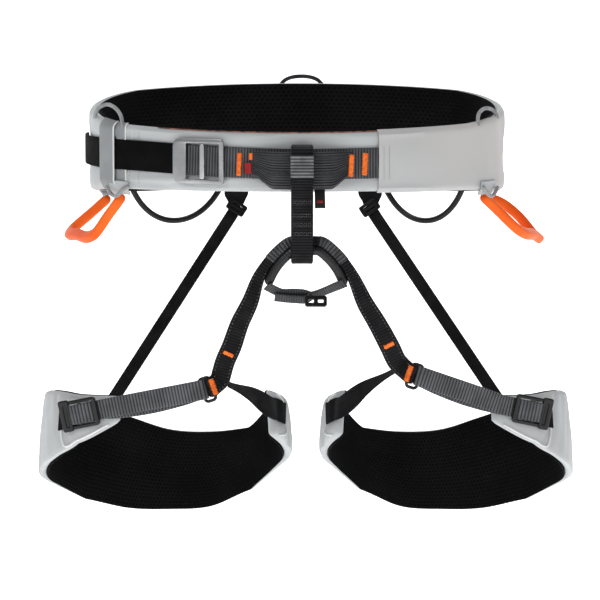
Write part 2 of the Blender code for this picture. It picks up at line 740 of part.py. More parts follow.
def add_bridge(maker):
    right_path, right_widths = bridge_path("right")
    left_path, left_widths = bridge_path("left")
    path = right_path[::-1] + left_path[1:]
    widths = right_widths[::-1] + left_widths[1:]
    across = across_front(path)
    maker.ribbon("bridge_webbing", path, across, widths, BRIDGE_THICKNESS, "black_webbing", "bridge")
    lower = []
    for point, direction, width in zip(path, across, widths):
        if point.z > -92.0 * MM:
            lower.append(point + direction * (width / 2.0 + PROTECTOR_RADIUS + 2.0 * GAP))
    maker.wire("bridge_protector", lower, PROTECTOR_RADIUS, "black_plastic", "bridge")


def add_cross_strap(maker):
    """The adjustable strap across the foot of the arch, in two halves with a small ladder buckle."""
    across = Vector((0.0, -0.64, 0.77))
    y = BELAY_Y / MM
    left_points = (
        (-23.0, y - 4.2, -96.0),
        (-11.6, y, -101.6),
        (-2.0, y, -101.6),
        (7.0, y, -102.6),
        (10.5, y, -104.2),
        (8.0, y, -106.0),
        (-2.0, y, -106.4),
        (-17.0, y, -104.9),
    )
    right_points = ((15.6, y, -102.4), (20.6, y, -100.6), (28.0, y - 1.0, -97.4), (36.5, y - 4.2, -93.5))
    straps = (("cross_strap_right", left_points, 22), ("cross_strap_left", right_points, 9))
    for name, points, count in straps:
        path = smooth_path([Vector(point) * MM for point in points], count)
        maker.ribbon(
            name, path, [across] * count, [CROSS_WIDTH] * count, CROSS_THICKNESS, "ribbed_webbing", "bridge"
        )
    outlines = (
        rounded_rectangle(-8.5 * MM, 8.5 * MM, -4.5 * MM, 4.5 * MM, 2.0 * MM),
        rounded_rectangle(-6.0 * MM, -1.0 * MM, -2.6 * MM, 2.6 * MM, 0.6 * MM, 2),
        rounded_rectangle(1.0 * MM, 6.0 * MM, -2.6 * MM, 2.6 * MM, 0.6 * MM, 2),
    )
    place = Vector((14.5 * MM, BELAY_Y - 5.2 * MM, -109.5 * MM))
    matrix = Matrix.Translation(place) @ Matrix.Rotation(math.radians(60.0), 4, "X")
    maker.plate("cross_strap_buckle", outlines, 2.2 * MM, matrix, "black_plastic", "bridge")


def ring_matrix(side):
    """The ring's frame: local X runs outwards through it and local Y along its two long bars."""
    sign = SIDES[side]
    along = Vector((sign * 0.94, 0.12, -0.33))
    up = Vector((sign * 0.33, 0.0, 0.94))
    return matrix_from_axes(seat_point(side, RING_X[side], RING_Y, RING_Z[side]), along, up)


def add_rings(maker):
    half_width = RING_INNER_WIDTH / 2.0 + RING_WIRE
    half_length = RING_INNER_LENGTH / 2.0 + RING_WIRE
    outline = rounded_rectangle(-half_width, half_width, -half_length, half_length, 2.6 * MM)
    for side in SIDES:
        matrix = ring_matrix(side)
        path = [matrix @ Vector((x, y, 0.0)) for x, y in outline]
        maker.wire(f"ring_{side}", path, RING_WIRE, "black_aluminium", "bridge", cyclic=True)


# Leg loops


def add_leg_pad(maker, side):
    first, last = LEG_STATIONS[0][0], LEG_STATIONS[-1][0]
    layers = (
        (f"leg_shell_{side}", 0.0, SHELL_THICKNESS, "shell_fabric"),
        (f"leg_foam_{side}", FOAM_OFFSET, FOAM_THICKNESS, "foam_core"),
        (f"leg_lining_{side}", LINING_OFFSET, LINING_THICKNESS, "lining_mesh"),
    )
    for name, offset, thickness, finish in layers:

        def place(share, height, offset=offset):
            angle = math.radians(first + (last - first) * share)
            return leg_point(side, angle, offset, leg_edge(angle, height))

        body = f"leg_{side}"
        maker.sheet(name, place, (40, 2), thickness, finish, body, flip=side == "right")


def leg_buckle_matrix(side):
    """The leg buckle's frame: local X along the strap towards the ring, local Z out of its face."""
    sign = SIDES[side]
    place = leg_point(side, LEG_BUCKLE_ANGLE, LEG_BUCKLE_OFFSET, LEG_BUCKLE_Z[side])
    along = Vector((-sign * math.cos(LEG_BUCKLE_YAW), -math.sin(LEG_BUCKLE_YAW), 0.24))
    matrix = matrix_from_axes(place, along, Vector((0.0, 0.0, 1.0)))
    if matrix.col[2].y > 0.0:
        matrix = matrix @ Matrix.Diagonal((1.0, -1.0, -1.0, 1.0))
    return matrix


def leg_strap_path(side):
    """The strap from the buckle's slider out to the ring, round its bar and back to the buckle."""
    buckle = leg_buckle_matrix(side)
    half = LEG_BUCKLE_LENGTH / 2.0
    over = LEG_BUCKLE_THICKNESS / 2.0 + GAP + LEG_STRAP_THICKNESS / 2.0 + 0.2 * MM
    outer_start = [
        buckle @ Vector((-8.0 * MM, 0.0, 0.0)),
        buckle @ Vector((-4.5 * MM, 0.0, over)),
        buckle @ Vector((1.0 * MM, 0.0, over + 0.6 * MM)),
        buckle @ Vector((half - 5.0 * MM, 0.0, over + 0.2 * MM)),
        buckle @ Vector((half + 3.0 * MM, 0.0, over)),
    ]
    inner_end = buckle @ Vector((half + 1.5 * MM, 0.0, -over))
    bar = ring_matrix(side) @ Vector((RING_INNER_WIDTH / 2.0 + RING_WIRE, 0.0, 0.0))
    start = outer_start[-1]
    along = (bar - start).normalized()
    up = (buckle.col[1].to_3d()).copy()
    up = up if up.z > 0.0 else -up
    out = along.cross(up).normalized()
    out = out if out.y < 0.0 else -out
    bight = []
    for turn in np.linspace(90.0, -90.0, 9):
        angle = math.radians(turn)
        reach = along * math.cos(angle) + out * math.sin(angle)
        bight.append(bar + reach * LEG_BIGHT_RADIUS)
    outer = smooth_path(outer_start + [start.lerp(bight[0], 0.35), start.lerp(bight[0], 0.7), bight[0]], 20)
    sag = Vector((0.0, 0.0, -2.5 * MM))
    inner = [bight[-1].lerp(inner_end, share) + sag * math.sin(math.pi * share) for share in (0.3, 0.65)]
    inner = smooth_path([bight[-1], *inner, inner_end], 8)
    return outer + bight[1:] + inner[1:], up


def add_leg_strap(maker, side):
    path, up = leg_strap_path(side)
    count = len(path)
    widths = [LEG_STRAP_WIDTH] * count
    maker.ribbon(
        f"leg_strap_{side}", path, [up] * count, widths, LEG_STRAP_THICKNESS, "ribbed_webbing", f"leg_{side}"
    )


def add_leg_buckle(maker, side):
    """A frame with a window for its sliding bar, held on the pad by a short webbing tab."""
    matrix = leg_buckle_matrix(side)
    half_length, half_height = LEG_BUCKLE_LENGTH / 2.0, LEG_BUCKLE_HEIGHT / 2.0
    bar, rail = 3.4 * MM, 2.9 * MM
    window = (-half_length + 2 * bar, half_length - bar, -half_height + rail, half_height - rail)
    outlines = (
        rounded_rectangle(-half_length, half_length, -half_height, half_height, 3.0 * MM),
        rounded_rectangle(*window, 1.0 * MM),
    )
    name = f"leg_buckle_frame_{side}"
    maker.plate(name, outlines, LEG_BUCKLE_THICKNESS, matrix, "black_aluminium", f"leg_{side}")
    reach = half_height - rail - GAP
    slider = rounded_rectangle(0.0, 3.2 * MM, -reach, reach, 0.8 * MM)
    body = f"leg_slider_{side}"
    thickness = LEG_BUCKLE_THICKNESS - GAP
    maker.plate(f"leg_buckle_slider_{side}", [slider], thickness, matrix, "black_aluminium", body)


def add_leg_tab(maker, side):
    """The webbing tab that is sewn to the pad under the buckle."""
    first, last = math.radians(26.0), math.radians(46.0)
    middle = LEG_BUCKLE_Z[side] - 3.0 * MM

    def place(share, height):
        angle = first + (last - first) * share
        z = middle - 5.0 * MM * share + (height - 0.5) * 17.0 * MM
        return leg_point(side, angle, GAP + TRIM_THICKNESS, z)

    flip = side == "right"
    maker.sheet(
        f"leg_buckle_tab_{side}", place, (6, 1), TRIM_THICKNESS, "black_webbing", f"leg_{side}", flip=flip
    )


def add_inner_strap(maker, side):
    """The strap from the fork of the bridge to the front inner end of the pad, turning as it goes."""
    lift = GAP + LEG_STRAP_THICKNESS / 2.0 + 0.2 * MM
    on_pad = [
        leg_point(side, math.radians(angle), lift, leg_edge(math.radians(angle), 0.6))
        for angle in (306.0, 300.0, 294.0)
    ]
    before = leg_point(side, math.radians(310.0), lift + 1.5 * MM, leg_edge(math.radians(308.0), 0.6))
    fork = seat_point(side, 59.5 * MM, RING_Y + 5.0 * MM, RING_Z[side] + 1.5 * MM)
    middle = fork.lerp(before, 0.5) + Vector((0.0, 0.0, 1.5 * MM))
    path = smooth_path([fork, middle, before, *on_pad], 20)
    sign = SIDES[side]
    across, widths = [], []
    for index in range(20):
        share = smooth_step(index / 13.0)
        out = 0.5 + (LEG_FLARE - 0.5) * share
        lean = 0.3 + (LEG_LEAN + LEG_FLARE / 2.0 - 0.3) * share
        across.append(Vector((sign * out, lean, 1.0)).normalized())
        widths.append((6.0 + 12.0 * share) * MM)
    maker.ribbon(
        f"inner_strap_{side}", path, across, widths, LEG_STRAP_THICKNESS, "black_webbing", f"leg_{side}"
    )


# Risers


def add_riser(maker, side):
    """A sewn tab and a ladder buckle under the belt, and the elastic strap down to the leg loop."""
    top, bottom = riser_ends(side)
    angle = riser_angle(side)

    def tab_place(share, height):
        here = angle + (share - 0.5) * RISER_WIDTH / WAIST.front_radius
        low, high = RISER_TOP_Z + 8.5 * MM, waist_bottom(here) + 22.0 * MM
        return waist_point(here, GAP + TRIM_THICKNESS, low + (high - low) * height)

    maker.sheet(f"riser_tab_{side}", tab_place, (2, 2), TRIM_THICKNESS, "black_webbing")
    down = (bottom - top).normalized()
    across = down.cross(Vector((0.0, 1.0, 0.0))).normalized()
    matrix = matrix_from_axes(top, across, -down)
    outlines = (
        rounded_rectangle(-8.2 * MM, 8.2 * MM, -5.0 * MM, 5.0 * MM, 1.8 * MM),
        rounded_rectangle(-6.2 * MM, 6.2 * MM, 0.9 * MM, 3.2 * MM, 0.6 * MM, 2),
        rounded_rectangle(-6.2 * MM, 6.2 * MM, -3.2 * MM, -0.9 * MM, 0.6 * MM, 2),
    )
    body = f"riser_buckle_{side}"
    maker.plate(f"riser_buckle_{side}", outlines, 2.2 * MM, matrix, "black_plastic", body)
    length = (bottom - top).length
    start = RISER_START
    split = length * RISER_SPLIT
    end = length - RISER_CLEARANCE
    stretches = (
        (f"riser_strap_{side}", start, split - GAP / 2.0, f"riser_{side}"),
        (f"riser_strap_end_{side}", split + GAP / 2.0, end, f"riser_end_{side}"),
    )
    for name, low, high, owner in stretches:
        path = [top + down * distance for distance in np.linspace(low, high, 6)]
        maker.ribbon(name, path, [across] * 6, [RISER_WIDTH] * 6, RISER_THICKNESS, "elastic_band", owner)


def add_riser_anchor(maker, side):
    """The webbing tab on the pad that the riser's lower end is hooked to."""
    half_turn = 7.0 * MM / LEG.front_radius
    top = leg_edge(RISER_LEG_ANGLE, 1.0)

    def place(share, height):
        angle = RISER_LEG_ANGLE + (2.0 * share - 1.0) * half_turn
        return leg_point(side, angle, GAP + TRIM_THICKNESS, top - 20.0 * MM + 27.0 * MM * height)

    flip = side == "right"
    maker.sheet(
        f"riser_anchor_{side}", place, (2, 2), TRIM_THICKNESS, "black_webbing", f"leg_{side}", flip=flip
    )


def main():
    clear_scene()
    maker = Maker()
    add_waist_pad(maker)
    add_waist_panel(maker)
    add_waist_webbing(maker)
    add_waist_buckle(maker)
    add_keeper(maker)
    add_tie_in_band(maker)
    add_belay_loop(maker)
    add_labels(maker)
    add_bows(maker)
    add_haul_loop(maker)
    add_gear_loops(maker)
    add_bridge(maker)
    add_cross_strap(maker)
    add_rings(maker)
    for side in SIDES:
        add_leg_pad(maker, side)
        add_leg_strap(maker, side)
        add_leg_buckle(maker, side)
        add_leg_tab(maker, side)
        add_inner_strap(maker, side)
        add_riser(maker, side)
        add_riser_anchor(maker, side)


main()
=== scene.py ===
"""Visual model of a padded climbing harness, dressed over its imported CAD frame.

The frame is in metres, +Z is up, the wearer looks along -Y and +X is the wearer's left. Belt and leg
loops are surfaces over ovals; straps, cords and tapes are profiles carried along paths. A shape is
worked out as whole arrays and handed to the mesh in one go.
"""

from __future__ import annotations

import logging
import math
from collections.abc import Callable, Sequence
from dataclasses import dataclass, field
from enum import Enum

import bmesh
import bpy
import numpy as np
from mathutils import Matrix, Vector


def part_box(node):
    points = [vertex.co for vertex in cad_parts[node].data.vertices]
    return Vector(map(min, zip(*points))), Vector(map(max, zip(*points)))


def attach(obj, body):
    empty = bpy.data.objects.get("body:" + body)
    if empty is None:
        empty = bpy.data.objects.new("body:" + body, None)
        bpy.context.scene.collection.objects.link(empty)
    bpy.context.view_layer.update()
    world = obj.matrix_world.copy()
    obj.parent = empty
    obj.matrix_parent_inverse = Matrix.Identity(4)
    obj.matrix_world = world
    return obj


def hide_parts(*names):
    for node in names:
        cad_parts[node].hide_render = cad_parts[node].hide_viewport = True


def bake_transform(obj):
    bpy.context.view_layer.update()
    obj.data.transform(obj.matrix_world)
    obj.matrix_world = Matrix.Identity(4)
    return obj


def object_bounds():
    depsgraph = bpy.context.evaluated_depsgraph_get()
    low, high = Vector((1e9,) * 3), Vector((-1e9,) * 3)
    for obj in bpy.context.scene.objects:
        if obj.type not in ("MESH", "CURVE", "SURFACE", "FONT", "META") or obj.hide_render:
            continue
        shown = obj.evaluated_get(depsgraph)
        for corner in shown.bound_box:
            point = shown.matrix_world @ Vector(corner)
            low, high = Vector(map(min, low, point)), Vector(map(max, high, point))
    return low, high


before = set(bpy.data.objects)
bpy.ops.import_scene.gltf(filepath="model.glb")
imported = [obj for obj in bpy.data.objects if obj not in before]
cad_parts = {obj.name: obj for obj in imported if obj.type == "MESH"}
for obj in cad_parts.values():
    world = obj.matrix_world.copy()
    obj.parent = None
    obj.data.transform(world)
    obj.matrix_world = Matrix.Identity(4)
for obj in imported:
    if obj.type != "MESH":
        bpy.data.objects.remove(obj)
CAD_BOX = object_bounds()

MM = 0.001
TAU = 2.0 * math.pi
Array = np.ndarray
Piece = bpy.types.Object
Relief = Callable[[Array, Array], Array]
SIDES = {"right": -1.0, "left": 1.0}
LOG = logging.getLogger("harness")


# Curves and arrays


def unit(vectors: Array) -> Array:
    """Each vector of an array, divided by its length."""
    return vectors / np.linalg.norm(vectors, axis=-1, keepdims=True)


def ease(values: Array | float) -> Array:
    """0 below 0, 1 above 1, and the even S curve 3t^2 - 2t^3 between them."""
    held = np.clip(values, 0.0, 1.0)
    return held * held * (3.0 - 2.0 * held)


def hump(values: Array, middle: float, width: float) -> Array:
    """A bell of height 1 round a middle: exp(-((x - middle) / width)^2)."""
    return np.exp(-(((values - middle) / width) ** 2))


def through(table: Array, places: Array) -> Array:
    """Values on a cubic curve through the rows of a table.

    Between two rows the curve is the Hermite cubic of their values and of the slopes that central
    differences give there.

    Args:
        table: Rows of a place, in rising order, and then the values there.
        places: Where the values are wanted.

    Returns:
        One row of values for each place.
    """
    knots, values = table[:, 0], table[:, 1:]
    slopes = np.gradient(values, knots, axis=0)
    row = np.clip(np.searchsorted(knots, places) - 1, 0, len(knots) - 2)
    run = (knots[row + 1] - knots[row])[:, None]
    t = (places - knots[row])[:, None] / run
    return (
        (2 * t**3 - 3 * t**2 + 1) * values[row]
        + (t**3 - 2 * t**2 + t) * run * slopes[row]
        + (3 * t**2 - 2 * t**3) * values[row + 1]
        + (t**3 - t**2) * run * slopes[row + 1]
    )


def lengths_along(path: Array) -> Array:
    """The distance run along a path at each of its points."""
    steps = np.linalg.norm(np.diff(path[:, :3], axis=0), axis=1)
    return np.concatenate([[0.0], np.cumsum(steps)])


def smooth_path(rows: Sequence[Sequence[float]] | Array, step: float) -> Array:
    """An evenly stepped curve through points in metres; columns past the third are carried along.

    Args:
        rows: The points, with any further values to carry.
        step: The distance between two points of the result.

    Returns:
        The curve's points, with the same columns.
    """
    table = np.array(rows, float)
    fine = np.column_stack([lengths_along(table), table])
    dense = through(fine, np.linspace(0.0, fine[-1, 0], 400))
    run = lengths_along(dense)
    places = np.linspace(0.0, run[-1], max(4, int(run[-1] / step) + 1))
    return np.column_stack([np.interp(places, run, column) for column in dense.T])


@dataclass(frozen=True)
class Oval:
    """A four-arc oval followed by the angle of its outward normal: 0 faces -Y and 90 degrees +X."""

    half_width: float
    half_depth: float
    side_radius: float

    @property
    def run(self) -> float:
        """The distance of a side arc's centre from the middle."""
        return self.half_width - self.side_radius

    @property
    def front_radius(self) -> float:
        """The radius of the front and back arcs, which meet the side arcs without a corner."""
        squares = self.run**2 + self.half_depth**2 - self.side_radius**2
        return squares / (2.0 * (self.half_depth - self.side_radius))

    def at(self, angle: Array | float, offset: Array | float = 0.0) -> tuple[Array, Array]:
        """The x and y that face an angle, moved outwards by the offset."""
        angle, offset = np.broadcast_arrays(np.asarray(angle, float), np.asarray(offset, float))
        rise = self.front_radius - self.half_depth
        limit = math.atan2(self.run, rise)
        folded = np.abs((angle + math.pi) % TAU - math.pi)
        front, back = folded < limit, folded > math.pi - limit
        radius = np.where(front | back, self.front_radius, self.side_radius) + offset
        centre_x = np.where(front | back, 0.0, np.copysign(self.run, np.sin(angle)))
        centre_y = np.where(front, rise, np.where(back, -rise, 0.0))
        return centre_x + radius * np.sin(angle), centre_y - radius * np.cos(angle)

    def angle_of(self, x: float) -> float:
        """The angle at which the front of the oval passes this x."""
        reach = abs(x)
        joint = self.front_radius * math.sin(math.atan2(self.run, self.front_radius - self.half_depth))
        if reach < joint:
            return math.copysign(math.asin(reach / self.front_radius), x)
        return math.copysign(math.asin((reach - self.run) / self.side_radius), x)


# Meshes


def build(
    name: str, points: Array, faces: list, uvs: Array | None = None, sharp: float = 40.0
) -> Piece:
    """A smooth closed mesh object, its faces turned outwards.

    Args:
        name: The object's name.
        points: The vertices, in the row frame.
        faces: Lists of vertex numbers.
        uvs: One pair for each corner of each face, in order, in metres.
        sharp: Edges that turn more than this many degrees stay sharp.

    Returns:
        The new object, in the scene's collection.
    """
    mesh = bpy.data.meshes.new(name)
    mesh.from_pydata(points.reshape(-1, 3).tolist(), [], faces)
    if uvs is not None:
        layer = mesh.uv_layers.new(name="UVMap")
        layer.data.foreach_set("uv", uvs.astype(np.float32).ravel())
    work = bmesh.new()
    work.from_mesh(mesh)
    bmesh.ops.recalc_face_normals(work, faces=work.faces)
    work.to_mesh(mesh)
    work.free()
    mesh.shade_smooth()
    mesh.set_sharp_from_angle(angle=math.radians(sharp))
    obj = bpy.data.objects.new(name, mesh)
    bpy.context.scene.collection.objects.link(obj)
    return obj


def loft(
    name: str, rings: Array, us: Array, vs: Array, closed: bool = False, sharp: float = 40.0
) -> Piece:
    """A skin over closed rings: each ring joins the next, and the two end rings are capped.

    Args:
        name: The object's name.
        rings: An array of rings by points by three.
        us: The pattern's place for each ring, with one more where the rings close on themselves.
        vs: The pattern's place for each point of a ring, and one more for its return.
        closed: Whether the last ring joins the first.
        sharp: The angle above which edges stay sharp.

    Returns:
        The new object.
    """
    count, size, _ = rings.shape
    rows = count if closed else count - 1
    i, j = np.meshgrid(np.arange(rows), np.arange(size), indexing="ij")
    i_next, j_next = (i + 1) % count, (j + 1) % size
    quads = np.stack([i * size + j, i_next * size + j, i_next * size + j_next, i * size + j_next], -1)
    corners_u = np.stack([us[i], us[i + 1], us[i + 1], us[i]], -1)
    corners_v = np.stack([vs[j], vs[j], vs[j + 1], vs[j + 1]], -1)
    uvs = np.stack([corners_u, corners_v], -1).reshape(-1, 2)
    faces = quads.reshape(-1, 4).tolist()
    if not closed:
        faces += [list(range(size)), list(range((count - 1) * size, count * size))]
        ends = [np.stack([np.full(size, us[k]), vs[:size]], -1) for k in (0, count - 1)]
        uvs = np.concatenate([uvs, *ends])
    return build(name, rings, faces, uvs, sharp)


@dataclass(frozen=True)
class Section:
    """A flat bar's outline with half-round edges: a share of its width, and the edge's two parts."""

    across: Array
    edge: Array
    lift: Array

    @classmethod
    def make(cls, columns: int) -> "Section":
        """The outline with this many points on each face and three on each edge."""
        flat = np.linspace(-0.5, 0.5, columns)
        turn = np.radians([54.0, 0.0, -54.0])
        across = np.concatenate([flat, [0.5] * 3, flat[::-1], [-0.5] * 3])
        edge = np.concatenate([0 * flat, np.cos(turn), 0 * flat, -np.cos(turn)])
        lift = np.concatenate([1 + 0 * flat, np.sin(turn), -1 + 0 * flat, -np.sin(turn)])
        return cls(across, edge, lift)

    def round_lengths(self, width: float, thickness: float) -> Array:
        """The distance run round the outline at each point, with the whole way round last."""
        x = self.across * (width - thickness) + self.edge * thickness / 2.0
        y = self.lift * thickness / 2.0
        steps = np.hypot(np.diff(x, append=x[0]), np.diff(y, append=y[0]))
        return np.concatenate([[0.0], np.cumsum(steps)])


def ribbon(
    name: str,
    path: Array,
    across: Array,
    widths: Array | float,
    thickness: float,
    relief: Relief | None = None,
    columns: int = 9,
) -> Piece:
    """A strap: the flat section carried along a path, with its faces raised by a relief.

    A point is path + across * (share * (width - thickness) + edge * thickness / 2)
    + normal * (lift * (thickness / 2 + relief)), where the normal is the path's direction crossed
    with the across direction.

    Args:
        name: The object's name.
        path: The middle line's points.
        across: The direction across the strap, one for each point or one for all.
        widths: The strap's width, at each point or the same all along.
        thickness: Its thickness.
        relief: Height added to both faces, from the length run and the place across in metres.
        columns: Points across each face.

    Returns:
        The new object.
    """
    count = len(path)
    tangent = unit(np.gradient(path, axis=0))
    across = np.broadcast_to(across, (count, 3))
    normal = unit(np.cross(tangent, across))
    side = np.cross(normal, tangent)
    width = np.broadcast_to(widths, (count,))[:, None]
    section = Section.make(columns)
    place = section.across * (width - thickness) + section.edge * thickness / 2.0
    run = lengths_along(path)
    lift = section.lift * thickness / 2.0 * np.ones((count, 1))
    if relief is not None:
        lift = lift + section.lift * relief(run[:, None], place)
    rings = path[:, None] + side[:, None] * place[..., None] + normal[:, None] * lift[..., None]
    return loft(name, rings, run, section.round_lengths(float(width.mean()), thickness))


def tube(
    name: str,
    path: Array,
    radius: float,
    plane: Sequence[float],
    sides: int = 14,
    closed: bool = False,
    flatness: float = 1.0,
    squareness: float = 1.0,
) -> Piece:
    """A cord or bar: a rounded outline carried along a path, with domed ends.

    The outline is (sign(cos a)|cos a|^q, flatness * sign(sin a)|sin a|^q) times the radius, and within
    one radius of an open end it shrinks as sqrt(1 - (1 - s/r)^2).

    Args:
        name: The object's name.
        path: The middle line's points.
        radius: The outline's half width.
        plane: A direction off the path's own plane, which fixes how the outline is turned.
        sides: Points round the outline.
        closed: Whether the path is a loop.
        flatness: The outline's depth over its width.
        squareness: The power q: 1 is round, and less is squarer.

    Returns:
        The new object.
    """
    run = lengths_along(path)
    if closed:
        tangent = unit(np.roll(path, -1, axis=0) - np.roll(path, 1, axis=0))
    else:
        near = np.array([0.0, 0.08, 0.3, 0.65]) * radius
        between = run[(run > radius) & (run < run[-1] - radius)]
        places = np.unique(np.concatenate([near, between, run[-1] - near]))
        path = np.column_stack([np.interp(places, run, column) for column in path.T])
        run = places
        tangent = unit(np.gradient(path, axis=0))
    first = unit(np.cross(tangent, np.asarray(plane, float)))
    second = np.cross(tangent, first)
    turn = np.linspace(0.0, TAU, sides, endpoint=False)
    x = np.sign(np.cos(turn)) * np.abs(np.cos(turn)) ** squareness
    y = flatness * np.sign(np.sin(turn)) * np.abs(np.sin(turn)) ** squareness
    reach = np.full(len(run), radius)
    if not closed:
        end = np.clip(np.minimum(run, run[-1] - run) / radius, 0.02, 1.0)
        reach = radius * np.sqrt(1.0 - (1.0 - end) ** 2)
    outline = first[:, None] * x[:, None] + second[:, None] * y[:, None]
    rings = path[:, None] + reach[:, None, None] * outline
    if closed:
        run = np.append(run, run[-1] + np.linalg.norm(path[0] - path[-1]))
    return loft(name, rings, run, np.linspace(0.0, TAU * radius, sides + 1), closed)


def slab(
    name: str, outer: Array, thickness: float, us: Array, relief: Array | float = 0.0
) -> Piece:
    """A sewn sheet with round edges: a surface, its normals, and the same surface one thickness in.

    Args:
        name: The object's name.
        outer: The outer face as an array of rows by columns by three.
        thickness: How thick the sheet is.
        us: The pattern's place for each row, in metres.
        relief: Height added to the outer face.

    Returns:
        The new object.
    """
    along, over = np.gradient(outer, axis=0), np.gradient(outer, axis=1)
    normal = unit(np.cross(along, over))
    inner = outer - normal * thickness
    middle = (outer + inner) / 2.0
    side = unit(over)
    face = outer + normal * np.asarray(relief)[..., None]
    half = thickness / 2.0
    rings = np.concatenate(
        [face, (middle + side * half)[:, -1:], inner[:, ::-1], (middle - side * half)[:, :1]], axis=1
    )
    halfway = rings[len(rings) // 2]
    return loft(name, rings, us, lengths_along(np.concatenate([halfway, halfway[:1]])))


def rounded(
    left: float, right: float, low: float, high: float, radii: Sequence[float], steps: int = 5
) -> list[tuple[float, float]]:
    """The outline of a rectangle with rounded corners.

    Args:
        left: Its left side.
        right: Its right side.
        low: Its lower side.
        high: Its upper side.
        radii: The corners' radii, from the upper right one, anticlockwise.
        steps: The pieces in each corner, 1 for a chamfer.

    Returns:
        The outline's (x, y) points.
    """
    corners = ((right, high, -1, -1), (left, high, 1, -1), (left, low, 1, 1), (right, low, -1, 1))
    points = []
    for index, ((x, y, to_x, to_y), radius) in enumerate(zip(corners, radii)):
        centre_x, centre_y = x + to_x * radius, y + to_y * radius
        for turn in np.radians(90.0 * index + np.linspace(0.0, 90.0, steps + 1)):
            points.append((centre_x + radius * math.cos(turn), centre_y + radius * math.sin(turn)))
    return points


def block(half_x: float, half_y: float, radius: float, steps: int = 5, shift: float = 0.0) -> list:
    """A rounded rectangle round (0, shift), by its half sizes, with the same radius at every corner."""
    return rounded(-half_x, half_x, shift - half_y, shift + half_y, (radius,) * 4, steps)


def plate(
    name: str, outlines: Sequence[list], thickness: float, bevel: float, place: Matrix
) -> Piece:
    """A flat metal or moulded plate with holes and rounded edges.

    Args:
        name: The object's name.
        outlines: The rim, and then the holes, as (x, y) points in metres.
        thickness: The plate's whole thickness.
        bevel: The radius of its edges.
        place: The plate's frame, with local Z out of its face.

    Returns:
        The new object, with its place in its mesh.
    """
    curve = bpy.data.curves.new(name, "CURVE")
    curve.dimensions = "2D"
    curve.fill_mode = "BOTH"
    curve.extrude = thickness / 2.0 - bevel
    curve.bevel_depth = bevel
    curve.bevel_resolution = 3
    curve.offset = -bevel
    for outline in outlines:
        spline = curve.splines.new("POLY")
        spline.points.add(len(outline) - 1)
        flat = np.column_stack([np.array(outline), np.zeros(len(outline)), np.ones(len(outline))])
        spline.points.foreach_set("co", flat.ravel().astype(np.float32))
        spline.use_cyclic_u = True
    guide = bpy.data.objects.new(name + "_guide", curve)
    bpy.context.scene.collection.objects.link(guide)
    graph = bpy.context.evaluated_depsgraph_get()
    mesh = bpy.data.meshes.new_from_object(guide.evaluated_get(graph))
    bpy.data.objects.remove(guide)
    mesh.name = name
    work = bmesh.new()
    work.from_mesh(mesh)
    bmesh.ops.remove_doubles(work, verts=work.verts, dist=1e-6)
    bmesh.ops.recalc_face_normals(work, faces=work.faces)
    work.to_mesh(mesh)
    work.free()
    mesh.transform(place)
    mesh.shade_smooth()
    mesh.set_sharp_from_angle(angle=math.radians(35.0))
    obj = bpy.data.objects.new(name, mesh)
    bpy.context.scene.collection.objects.link(obj)
    return obj


def stitches(
    name: str, places: Array, along: Array, out: Array, length: float, radius: float
) -> Piece:
    """Thread stitches: the same small spindle set down many times.

    Each spindle has four rings of six points, at 0, 0.2, 0.8 and 1 of its length, the end ones small.

    Args:
        name: The object's name.
        places: The stitches' middles.
        along: The direction of each thread.
        out: The direction off the cloth at each stitch.
        length: A stitch's length.
        radius: The thread's radius.

    Returns:
        One object with all the stitches.
    """
    sides, rings = 6, 4
    turn = np.linspace(0.0, TAU, sides, endpoint=False)
    shares = np.array([-0.5, -0.3, 0.3, 0.5])
    reach = np.array([0.25, 1.0, 1.0, 0.25]) * radius
    x = np.repeat(shares * length, sides)[:, None]
    y = (reach[:, None] * np.cos(turn)).reshape(-1, 1)
    z = (reach[:, None] * np.sin(turn)).reshape(-1, 1)
    side = unit(np.cross(out, along))
    points = places[:, None] + x * along[:, None] + y * side[:, None] + z * out[:, None]
    i, j = np.meshgrid(np.arange(rings - 1) * sides, np.arange(sides), indexing="ij")
    j_next = (j + 1) % sides
    quads = np.stack([i + j, i + sides + j, i + sides + j_next, i + j_next], -1).reshape(-1, 4)
    last = sides * (rings - 1)
    caps = [[start, start + k, start + k + 1, start + k + 2] for start in (0, last) for k in (1, 3)]
    base = np.concatenate([quads, caps])
    shift = sides * rings * np.arange(len(places))[:, None, None]
    faces = (base[None] + shift).reshape(-1, 4).tolist()
    return build(name, points, faces)


def stitch_line(
    name: str, path: Array, out: Array, pitch: float, length: float, radius: float
) -> Piece:
    """Stitches set evenly along a path, each along it.

    Args:
        name: The object's name.
        path: The seam's points.
        out: The direction off the cloth, for each point or for all.
        pitch: The distance from one stitch to the next.
        length: A stitch's length.
        radius: The thread's radius.

    Returns:
        One object with all the stitches.
    """
    run = lengths_along(path)
    spots = np.arange(pitch / 2.0, run[-1], pitch)
    out = np.broadcast_to(out, path.shape)
    places, along, off = (
        np.column_stack([np.interp(spots, run, column) for column in table.T])
        for table in (path, np.gradient(path, axis=0), out)
    )
    return stitches(name, places, unit(along), unit(off), length, radius)


